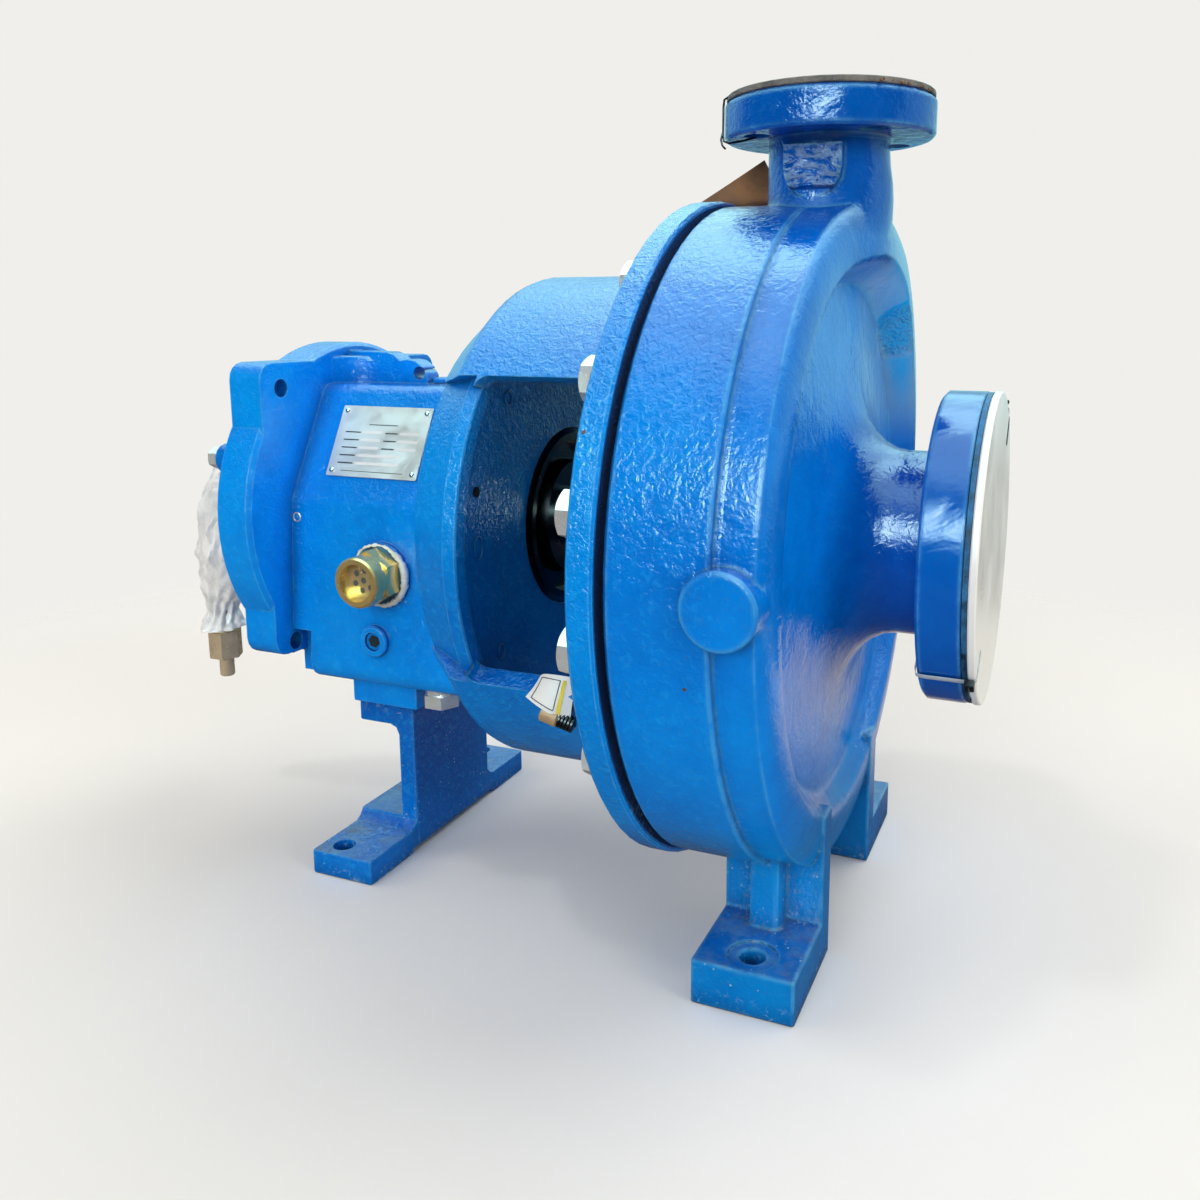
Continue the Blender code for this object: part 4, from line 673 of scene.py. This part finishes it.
def sun(name, toward, strength, angle, color=(1, 1, 1), glossy=True):
    data = bpy.data.lights.new(name, "SUN")
    data.energy = strength
    data.angle = math.radians(angle)
    data.color = color
    obj = bpy.data.objects.new(name, data)
    obj.matrix_world = frame_of(Vector((0, 0, 2)), Vector(toward))
    obj.visible_glossy = glossy
    bpy.context.scene.collection.objects.link(obj)


floor()
floor_card()
shell()
sun("key_lamp", (0.45, 0.50, 1.0), 1.08, 50, (0.95, 0.98, 1.0), glossy=False)
sun("front_lamp", (-0.05, -1.0, 0.35), 1.25, 30, (1.0, 0.99, 0.97), glossy=False)
sun("side_lamp", (-0.9, -0.4, 0.6), 0.40, 30, glossy=False)
sun("end_lamp", (1.0, -0.30, 0.30), 0.95, 30, glossy=False)
sun("sparkle_lamp", (-0.35, -0.25, 1.0), 0.22, 5)

world = bpy.data.worlds.new("surround")
bpy.context.scene.world = world
world.use_nodes = True
tree = world.node_tree
path = tree.nodes.new("ShaderNodeLightPath")
seen = tree.nodes.new("ShaderNodeMath")
seen.operation = "MAXIMUM"
tree.links.new(path.outputs["Is Camera Ray"], seen.inputs[0])
tree.links.new(path.outputs["Is Glossy Ray"], seen.inputs[1])
both = tree.nodes.new("ShaderNodeMath")
both.operation = "MAXIMUM"
tree.links.new(seen.outputs[0], both.inputs[0])
tree.links.new(path.outputs["Is Transmission Ray"], both.inputs[1])
fill = tree.nodes["Background"]
fill.inputs["Color"].default_value = (1.0, 0.965, 0.90, 1)
fill.inputs["Strength"].default_value = 0.40
shown = tree.nodes.new("ShaderNodeBackground")
shown.inputs["Color"].default_value = (*BACK, 1)
shown.inputs["Strength"].default_value = 1.0
pick = tree.nodes.new("ShaderNodeMixShader")
tree.links.new(both.outputs[0], pick.inputs[0])
tree.links.new(fill.outputs[0], pick.inputs[1])
tree.links.new(shown.outputs[0], pick.inputs[2])
tree.links.new(pick.outputs[0], tree.nodes["World Output"].inputs["Surface"])

# Finishes.

# Painted light and shade: the tints make the one blue enamel lighter on casing, adapter, frame and end cover, and
# darker on the foot.
CAST = enamel("enamel_casing", peel=0.55, ripple=0.6, round_by=0.0035, tint=(1.15, 1.10), dirt=0.6,
    smooth_beyond=OFF - 0.0255, rough_pad=(0.469, 0.4955, -0.0392), rough_spot=(OFF - 0.0686, 0.1100, 0.3850),
    shaded=(OFF - 0.095, OFF - 0.045, 0.425, 0.455))
ADAPTER = enamel("enamel_adapter", peel=0.9, ripple=0.5, tint=(1.38, 1.16),
    groove=(OFF - 0.1640, OFF - 0.1610, 0.2078), seed=3.1)
BEARING = enamel("enamel_bearing_frame", peel=0.65, ripple=0.30, rough=(0.08, 0.16), tint=(1.35, 1.18), seed=5.7)
FOOT = enamel("enamel_foot", peel=0.8, ripple=0.5, rough=(0.12, 0.24), tint=(0.80, 0.85), scratched=True, dirt=0.6,
    seed=8.9)
ENDCAP = enamel("enamel_end_cover", peel=0.5, ripple=0.2, tint=(1.2, 1.1), seed=11.3)
IRON = metal("dark_iron", (0.045, 0.05, 0.06), 0.28, bump=0.0002, wear=0.5)
ZINC = metal("zinc_plate", (0.80, 0.80, 0.78), 0.30, metallic=0.45, tint=(0.66, 0.65, 0.62), bump=0.0001, wear=0.2)
STEEL = metal("ground_steel", (0.66, 0.66, 0.65), 0.20, streak=(1, 0.02, 0.02), bump=0.0001)
BLACKED = metal("black_oxide", (0.035, 0.037, 0.042), 0.22, bump=0.0001)
BRASS = metal("brass", (0.95, 0.70, 0.28), 0.22, metallic=0.72, tint=(0.80, 0.52, 0.18), bump=0.0001, wear=0.4)
DULL_BRASS = metal("dull_brass", (0.80, 0.64, 0.42), 0.26, metallic=0.4, tint=(0.56, 0.42, 0.27), bump=0.0002,
    wear=0.5)
ALUMINIUM = metal("plate_metal", (0.72, 0.70, 0.66), 0.40, metallic=0.55, streak=(0.02, 1, 1),
    tint=(0.74, 0.73, 0.71), bump=0.00003, wear=0.03)
RUBBER = plastic("gasket_fibre", (0.015, 0.11, 0.25), 0.6, 0.45, 0.0014, 520)
COVER = plastic("cover_plastic", (0.95, 0.94, 0.89), 0.34, 0.02, 0.0002, 120)
BOARD = plastic("cover_board", (0.17, 0.15, 0.135), 0.85, 0.30, 0.0012, 420)
CARD = plastic("tag_card", (0.25, 0.115, 0.042), 0.8, 0.20, 0.0002, 300)
PAPER = plastic("tag_paper", (0.82, 0.82, 0.80), 0.5, 0.03, 0.0001, 200)
INK = plastic("ink", (0.012, 0.012, 0.014), 0.5, 0.1, 0.0001, 300)
YELLOW = plastic("tag_yellow", (0.80, 0.62, 0.02), 0.5, 0.06, 0.0001, 200)
BLACK = plastic("black_nylon", (0.010, 0.010, 0.012), 0.32, 0.2, 0.0001, 300)
CLEAR_TIE = plastic("clear_nylon", (0.50, 0.56, 0.62), 0.25, 0.1, 0.0001, 200)
SEALANT = plastic("thread_sealant", (0.80, 0.80, 0.72), 0.55, 0.10, 0.0009, 620)
TAN = plastic("tan_plastic", (0.50, 0.33, 0.18), 0.45, 0.15, 0.0002, 200)
REFLECTOR = metal("reflector_tin", (0.50, 0.44, 0.34), 0.24, wear=0.8)
# Painted shade: a near-black sheet put in holes and sockets, where there is only shade.
HOLE_SHADE = plastic("hole_shade", (0.004, 0.006, 0.010), 0.8, 0.2, 0.0004, 300)


def lens_glass():
    k = Look("lens_glass", (0.60, 0.62, 0.58), 0.04)
    smear = k.step(k.noise(120, 4, 0.6), 0.45, 0.75, 0.03, 0.16)
    k.set(**{"Roughness": smear, "Alpha": 0.07})
    return k.m


def film():
    """Thin clear polythene, milky where it is folded over itself."""
    k = Look("bag_film", (0.90, 0.90, 0.89), 0.30)
    fold = k.noise(75, 5, 0.6, 1.2, k.stretch(1, 1, 0.35))
    k.set(**{"Base Color": k.ramp(fold, (0.35, (0.90, 0.90, 0.90)), (0.60, (0.99, 0.99, 0.98))),
            "Alpha": k.step(fold, 0.32, 0.62, 0.72, 0.97), "Normal": k.bump(k.noise(110, 3, 0.5, 1.0), 0.0009, 0.5)})
    return k.m


GLASS = lens_glass()
FILM = film()

dress(CAST, "casing", angle=32)
dress(ADAPTER, "frame_adapter", angle=32)
dress(BEARING, "bearing_frame", "filler_plug", angle=32)
dress(ENDCAP, "bearing_end_cover")
dress(FOOT, "frame_foot")
dress(IRON, "seal_chamber_cover")
dress(STEEL, "seal_gland", "shaft", "shaft_sleeve")
dress(BLACKED, "inboard_labyrinth_seal")
dress(BRASS, "outboard_labyrinth_seal", "sight_glass_body")
dress(DULL_BRASS, "bagged_fitting")
dress(ZINC, "drain_plug")
dress(BEARING, "side_plug_near", "side_plug_far")
dress(RUBBER, "suction_gasket", "sight_glass_gasket")
dress(COVER, "suction_cover")
dress(BOARD, "discharge_cover")
dress(GLASS, "sight_glass_lens")

# Hexagon bolts that join adapter, seal chamber cover and casing.

BOLT_COUNT = 16
BOLT_FACE = -178.5
BOLT_CIRCLE = 187
BOLT_START = 12.0
BOLT_FLATS = 0.0238
BOLT_HEAD = 0.0112
for k in range(BOLT_COUNT):
    spot = polar(BOLT_FACE, BOLT_CIRCLE, BOLT_START + 360 / BOLT_COUNT * k)
    turn = random.Random(k).uniform(0, 1.0)
    bolt = Shape()
    bolt.spin([(0.0142, 0), (0.0142, 0.0010), (0.0138, 0.0016), (0.0, 0.0016)], frame_of(spot, (-1, 0, 0)), 32)
    bolt.hexagon(frame_of(spot + Vector((-0.0016, 0, 0)), (-1, 0, 0), turn), BOLT_FLATS, BOLT_HEAD)
    bolt.make(f"adapter_bolt_{k + 1:02d}", ZINC, "pump", "bright_steel")

# Cap screws of the bearing end cover, on its three lobes.

COVER_FACE = -508.1
COVER_SCREW_CIRCLE = 100
COVER_SCREW_FLATS = 0.0135
COVER_SCREW_HEAD = 0.0085
for k, degrees in enumerate((24, 144, 264)):
    spot = polar(COVER_FACE, COVER_SCREW_CIRCLE, degrees)
    screw = Shape()
    screw.spin([(0.0086, 0), (0.0086, 0.0008), (0.0082, 0.0012), (0.0, 0.0012)], frame_of(spot, (-1, 0, 0)), 28)
    screw.hexagon(frame_of(spot + Vector((-0.0012, 0, 0)), (-1, 0, 0), 0.3 * k), COVER_SCREW_FLATS, COVER_SCREW_HEAD)
    screw.make(f"cover_screw_{k + 1}", ZINC, "pump", "bright_steel")

# Cast marks on the adapter's back wall: a drilled hole, shown as a dark disc of painted shade, an oval pad and two
# round pads.

WALL_X = -283.1
marks = Shape()
for (y, z), (wide, tall) in (((-121.3, 254.4), (4.6, 7.2)), ((-97.7, 182.0), (3.6, 4.8)),
        ((-81.2, 342.9), (4.2, 4.2))):
    ring = []
    for k in range(36):
        a = 2 * math.pi * k / 36
        ring.append(at(WALL_X, y + wide * math.cos(a), z + tall * math.sin(a)))
    ring.append(ring[0])
    marks.tube(ring, 0.0006, 6, ends=(False, False))
marks.make("cast_marks", ADAPTER, "pump", "blue_enamel")
drilled = Shape()
drilled.spin([(0.0034, 0), (0.0034, 0.0003), (0.0, 0.0003)], frame_of(at(WALL_X, -121.5, 289.1), (1, 0, 0)), 28)
drilled.make("drilled_hole_shade", HOLE_SHADE, "pump", "blue_enamel")

# Nameplate on the bearing frame's sloped shoulder: bare metal, plain ruled lines and four drive screws.

SLOPE = Vector((0, 0.0415, 0.0790)).normalized()
OUTWARD = Vector((0, -SLOPE.z, SLOPE.y))
PLATE_WIDE, PLATE_TALL = 0.0755, 0.0532
FIRST_ROW, ROW_PITCH = 0.0065, 0.0058
middle = at(-401.6, -77.5, 266.0) + SLOPE * 0.0460 + OUTWARD * 0.0003
flat = Matrix((Vector((1, 0, 0)), SLOPE, OUTWARD)).transposed().to_4x4()
flat.translation = middle
Shape().plate(flat, PLATE_WIDE, PLATE_TALL, 0.0008, 0.0012, 0.00015).make("nameplate", ALUMINIUM, "pump",
    "bright_steel")


def on_plate(x, y, lift=0.00083):
    return flat @ Matrix.Translation((x, y, lift))


lines = Shape()
for row in range(5):
    y = FIRST_ROW - row * ROW_PITCH
    lines.plate(on_plate(-0.0285 + 0.0045, y), 0.0130, 0.0009, 0.00006, 0.0002, 0.00001, 2)
    if row < 3:
        lines.plate(on_plate(0.0085, y), 0.0105, 0.0009, 0.00006, 0.0002, 0.00001, 2)
lines.plate(on_plate(0, -0.0225), 0.052, 0.00045, 0.00006, 0.0002, 0.00001, 2)
lines.plate(on_plate(0, 0.0125), 0.024, 0.0007, 0.00006, 0.0002, 0.00001, 2)
lines.make("plate_lines", INK, "pump", "black_steel")
fields = Shape()
for row in range(5):
    y = FIRST_ROW - row * ROW_PITCH
    wide = 0.0165 if row < 3 else 0.036
    fields.plate(on_plate(-0.0165 + wide / 2 + 0.0005, y + 0.0002), wide, 0.0021, 0.00005, 0.0003, 0.00001, 2)
    if row < 3:
        fields.plate(on_plate(0.0235, y + 0.0002), 0.0160, 0.0021, 0.00005, 0.0003, 0.00001, 2)
fields.make("plate_fields", PAPER, "pump", "bright_steel")
for k, (sx, sy) in enumerate(((-1, -1), (1, -1), (1, 1), (-1, 1))):
    rivet = Shape()
    rivet.spin([(0.0019, 0), (0.0018, 0.0006), (0.0014, 0.0011), (0.0007, 0.0014), (0.0, 0.0015)],
        on_plate(sx * 0.0335, sy * 0.0225), 20)
    rivet.make(f"drive_screw_{k + 1}", STEEL, "pump", "bright_steel", angle=60)

# Small plugged hole beside the frame flange.

plugged = Shape()
plugged.spin([(0.0034, 0), (0.0034, 0.0004), (0.0029, 0.0006), (0.0026, 0.0001), (0.0, 0.0001)],
    frame_of(at(-458.9, -78.2, 253.6), (0, -1, 0.07)), 26)
plugged.make("plugged_hole", DULL_BRASS, "pump", "brass")

# Hexagon sockets of the two side plugs, each a thin dark hexagon of painted shade.

for name, side in (("near", -1), ("far", 1)):
    low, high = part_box("side_plug_" + name)
    face = frame_of(Vector(((low.x + high.x) / 2, low.y if side < 0 else high.y, (low.z + high.z) / 2)), (0, side, 0),
        0.3)
    Shape().hexagon(face, 0.0080, 0.0003, chamfer=0.0).make("plug_socket_shade_" + name, HOLE_SHADE, "pump", "black_steel")

# Sight glass: pierced reflector behind the lens, its holes and the space behind it shown by dark discs of painted
# shade, and white paste where its thread meets the boss.

GLASS_AT = (-386.0, 219.5)
PIERCED_CIRCLE = 0.0070
PIERCED_HOLE = [(0.0021, 0), (0.0021, 0.00012), (0.0, 0.00012)]
reflector = Shape()
face = frame_of(at(GLASS_AT[0], -100.9, GLASS_AT[1]), (0, -1, 0))
reflector.spin([(0.0104, -0.0003), (0.0104, 0.0), (0.0060, -0.0001), (0.0, -0.0001)], face, 40)
reflector.make("sight_reflector", REFLECTOR, "pump", "brass")
pierced = Shape()
for k in range(6):
    a = math.radians(60 * k + 20)
    pierced.spin(PIERCED_HOLE, face @ Matrix.Translation(
            (PIERCED_CIRCLE * math.cos(a), PIERCED_CIRCLE * math.sin(a), 0.00002)), 16)
pierced.spin(PIERCED_HOLE, face, 16)
pierced.spin([(0.0126, -0.00035), (0.0126, -0.0002), (0.0, -0.0002)], face, 40)
pierced.make("reflector_hole_shades", HOLE_SHADE, "pump", "brass")
bead = []
for k in range(73):
    a = 2 * math.pi * k / 72
    r = 20.9 + 0.9 * noise.noise(Vector((3 * math.cos(a), 3 * math.sin(a), 1.3)))
    bead.append(at(GLASS_AT[0] + r * math.cos(a), -84.1, GLASS_AT[1] + r * math.sin(a)))
thick = random.Random(5)
swell = [0.0010 + 0.0015 * max(0.0, math.cos(2 * math.pi * k / 72 + 0.3)) + thick.uniform(-0.0004, 0.0006)
    for k in range(73)]
Shape().tube(bead, lambda t: swell[round(t * 72) % 72], 8, ends=(False, False)).make("thread_paste", SEALANT, "pump",
    "white_plastic", angle=70)

# Cable ties that hold the suction cover, each through one bolt hole and over the flange's edge.


def tie(name, degrees, strap_material):
    out = Vector((0, -math.cos(math.radians(degrees)), math.sin(math.radians(degrees))))
    centre = at(0, 0, SHAFT * 1000)
    along = Vector((1, 0, 0))
    side = out.cross(along)

    def p(x, r):
        return centre + along * (x / 1000) + out * (r / 1000)

    path = [p(8.1, 75), p(8.1, 82), p(8.1, 90), p(7.9, 94.6), p(7.2, 96.0), p(5, 96.5), p(0, 96.6), p(-8, 96.5),
        p(-18, 96.5), p(-23, 96.4), p(-25.2, 95.4), p(-26.2, 92), p(-26.2, 84), p(-26.0, 76)]
    Shape().tube(path, 0, flat=(0.0036, 0.0006, side)).make(name + "_strap", strap_material, "pump", "white_plastic")
    head = Shape()
    m = Matrix((side, -along, out)).transposed().to_4x4()
    m.translation = p(4.6, 96.2)
    head.plate(m, 0.0062, 0.0056, 0.0050, 0.0009, 0.0005)
    head.tube([p(4.6, 100.5), p(4.8, 103.0), p(5.4, 105.5), p(6.4, 107.5)], 0, flat=(0.0032, 0.0011, side))
    head.make(name + "_head", BLACK, "pump", "white_plastic")


tie("upper_tie", 128, BLACK)
tie("lower_tie", -40, CLEAR_TIE)

# Wire that holds the discharge cover, from the board's edge over the flange to a bolt hole.

wire = [at(*p) for p in ((-154.8, -26.5, 523.4), (-157.8, -26.8, 523.7), (-160.0, -27, 522.3), (-160.5, -27, 518),
        (-160.5, -27, 509), (-160.5, -27.2, 502), (-160.0, -27.5, 498.3), (-156.5, -28, 496.8), (-151, -30, 496.9),
        (-145, -32, 497.2), (-138, -34, 498.2))]
loose = [at(*p) for p in ((-160.8, -27.4, 503), (-161.4, -28.6, 499), (-160.2, -29.4, 495.5), (-158.4, -28.4, 493.4))]
Shape().tube(wire, 0.0007, 8).tube(loose, 0.0006, 8).make("cover_wire", IRON, "pump", "bright_steel", angle=80)

# Torn patch of the board cover: fibres that stand along its broken edge.

torn = Shape()
rough = random.Random(11)
for k in range(34):
    a = math.radians(rough.uniform(-52, -8))
    r = rough.uniform(57.5, 62.2)
    spot = at(-101.6 + r * math.cos(a), r * math.sin(a), 522.2)
    d = Vector((rough.uniform(-1, 1), rough.uniform(-1, 1), rough.uniform(0.0, 0.25))).normalized()
    size = rough.uniform(0.0008, 0.0022)
    torn.tube([spot - d * size, spot, spot + d * size + Vector((0, 0, 0.0006))], lambda t: 0.0009 - 0.0005 * t, 5)
torn.make("board_fibres", CARD, "pump", "grey_board", angle=70)

# Bare shipping tag behind the neck: it stands behind the casing's rim and its foot lies back over the rim.

corner = at(-152.0, 30.0, 494.3)
along = Vector((-0.877, 0.0, -0.480))
down = Vector((0.480, 0.0, -0.877))
REST = 0.2122
TAG_LONG, TAG_TALL = 0.084, 0.058
rows = []
for i in range(25):
    row = []
    for j in range(33):
        q = corner + along * (TAG_LONG * j / 32) + down * (TAG_TALL * i / 24)
        q.y += 0.0030 * math.sin(2.4 * j / 32) + 0.0015 * math.sin(3.0 * i / 24 + 1)
        hold = SHAFT + math.sqrt(REST ** 2 - q.y ** 2) + 0.004
        if q.z < hold:
            past = hold - q.z
            turn = math.asin(q.y / REST) + past / REST
            lift = 0.004 * math.exp(-past / 0.006)
            q.y = (REST + lift) * math.sin(turn)
            q.z = SHAFT + (REST + lift) * math.cos(turn)
        row.append(q)
    rows.append(row)
Shape().grid(rows, 0.0006).make("shipping_tag", CARD, "pump", "grey_board", angle=60)

# Paper label and strap end on the lower sill of the adapter's window.

label = []
for i in range(13):
    row = []
    for j in range(17):
        u, v = j / 16, i / 12
        q = at(-235, -151.5, 176.5).lerp(at(-207, -150.5, 163.5), u)
        q += Vector((0.005 * v * (1 - u), 0.004 * v, (0.0105 + 0.0140 * u ** 0.8) * v)) + Vector(
            (0, -0.0040 * math.sin(math.pi * u), 0.0012 * math.sin(math.pi * u)))
        q.x += 0.002 * math.sin(math.pi * v) * (1 - u) - 0.004 * (1 - u) * v * (1 - v)
        q.y += 0.006 * v * v
        row.append(q)
    label.append(row)
Shape().grid(label, 0.0003).make("paper_label", PAPER, "pump", "white_plastic", angle=70)


def label_point(u, v, lift=0.0003):
    x, y = u * 16, v * 12
    i, j = min(int(y), 11), min(int(x), 15)
    a, b, c = label[i][j], label[i][j + 1], label[i + 1][j]
    n = (b - a).cross(c - a).normalized()
    if n.y > 0:
        n = -n
    return a + (b - a) * (x - j) + (c - a) * (y - i) + n * lift


border = Shape()
for start, end in (((0.12, 0.12), (0.12, 0.88)), ((0.12, 0.88), (0.66, 0.88)), ((0.66, 0.12), (0.12, 0.12)),
        ((0.66, 0.88), (0.66, 0.12))):
    border.tube([label_point(start[0] + (end[0] - start[0]) * t / 10, start[1] + (end[1] - start[1]) * t / 10)
            for t in range(11)], 0.00028, 6)
border.make("label_rule", INK, "pump", "black_steel", angle=80)
band = [[label_point(u, v / 10, 0.0004) for v in range(1, 10)] for u in (0.72, 0.76, 0.80)]
Shape().grid(band, 0.0002).make("label_band", YELLOW, "pump", "white_plastic", angle=70)
ferrule = Shape()
end = frame_of(at(-224.5, -151.2, 168.8), (0.93, 0.10, -0.30))
ferrule.spin([(0.0046, 0), (0.0052, 0.0006), (0.0052, 0.0100), (0.0044, 0.0108), (0.0, 0.0108)], end, 24)
ferrule.make("strap_ferrule", TAN, "pump", "grey_board")
ribbed = Shape()
profile = [(0.0036, 0.0108)]
for k in range(5):
    profile += [(0.0048, 0.0112 + 0.0020 * k), (0.0048, 0.0122 + 0.0020 * k), (0.0039, 0.0125 + 0.0020 * k)]
profile.append((0.0, 0.0218))
ribbed.spin(profile, end, 24)
ribbed.make("strap_end", BLACK, "pump", "dark_rubber")

# Crumpled plastic bag: tied round the shaft, hanging over its end, gathered on the bagged fitting.

FITTING_X = -0.3037
SHAFT_END_TIE = 0.0162
# Each station: (x, z) of the centre, (x, z) of the direction, half width across, half width along y.
stations = [
    ((-0.2290, 0.254), (-1.0, 0.0), 0.0160, 0.0160),
    ((-0.2350, 0.254), (-1.0, 0.0), 0.0152, 0.0152),
    ((-0.2420, 0.253), (-1.0, -0.1), 0.0205, 0.0190),
    ((-0.2540, 0.250), (-0.95, -0.35), 0.0290, 0.0255),
    ((-0.2690, 0.243), (-0.75, -0.65), 0.0370, 0.0295),
    ((-0.2800, 0.226), (-0.35, -0.94), 0.0345, 0.0300),
    ((-0.2840, 0.205), (-0.15, -0.99), 0.0305, 0.0290),
    ((-0.2890, 0.186), (-0.25, -0.97), 0.0255, 0.0255),
    ((-0.2970, 0.170), (-0.35, -0.94), 0.0185, 0.0195),
    ((-0.3030, 0.158), (-0.10, -0.99), 0.0128, 0.0130),
    ((FITTING_X, 0.149), (0.0, -1.0), 0.0118, 0.0118),
    ((FITTING_X, 0.141), (0.05, -1.0), 0.0150, 0.0155),
    ((-0.3030, 0.134), (0.10, -1.0), 0.0182, 0.0190),
]
SIDES, STEPS = 88, 66
skin = []
for i in range(STEPS + 1):
    t = i / STEPS * (len(stations) - 1)
    k = min(int(t), len(stations) - 2)
    f = t - k
    f = f * f * (3 - 2 * f)
    (c0, d0, a0, b0), (c1, d1, a1, b1) = stations[k], stations[k + 1]
    c = Vector((c0[0] + (c1[0] - c0[0]) * (t - k), 0, c0[1] + (c1[1] - c0[1]) * (t - k)))
    d = Vector((d0[0] + (d1[0] - d0[0]) * f, 0, d0[1] + (d1[1] - d0[1]) * f)).normalized()
    a, b = a0 + (a1 - a0) * f, b0 + (b1 - b0) * f
    across = Vector((d.z, 0, -d.x))
    ring = []
    for j in range(SIDES):
        w = 2 * math.pi * j / SIDES
        u = Vector((math.cos(w), math.sin(w), 0))
        size = min(a, b)
        tight = max(0.0, 1 - (size - 0.012) / 0.017)
        pleat = 0.10 * tight * math.sin(13 * w + 2.2 * math.sin(t * 0.9)) + 0.05 * math.sin(5 * w + 1.7 * t)
        q = Vector((2.4 * u.x, 2.4 * u.y, t * 0.55))
        crease = 0.0
        for scale, amount in ((1.0, 0.16), (2.3, 0.09), (5.1, 0.045)):
            crease -= amount * (1 - 2 * abs(noise.noise(q * scale + Vector((7.1, 3.3, 1.9)))))
        push = 1 + pleat + (crease + 0.14) * (1 - 0.7 * tight)
        ring.append(c + across * (a * push * u.x) + Vector((0, 1, 0)) * (b * push * u.y))
    skin.append(ring)
bag = Shape()
bag.rings(skin)
film_bag = bag.make("bag_film", FILM, "rotor", "clear_film", angle=50)
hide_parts("shaft_bag")
mouth = Shape()
circle = [Vector((-0.2350, SHAFT_END_TIE * math.cos(2 * math.pi * j / 40),
            SHAFT + SHAFT_END_TIE * math.sin(2 * math.pi * j / 40))) for j in range(41)]
mouth.tube(circle, 0, flat=(0.0030, 0.0010, (1, 0, 0)), ends=(False, False))
mouth.make("bag_tie", CLEAR_TIE, "rotor", "white_plastic")
thread = Shape()
turns = [(0.0098, 0.1385)]
for k in range(9):
    turns += [(0.0112, 0.1392 + 0.0019 * k), (0.0098, 0.14015 + 0.0019 * k)]
turns.append((0.0, 0.1562))
thread.spin(turns, Matrix.Translation((FITTING_X, 0, 0)), 32)
thread.make("fitting_thread", BLACKED, "rotor", "dark_rubber")
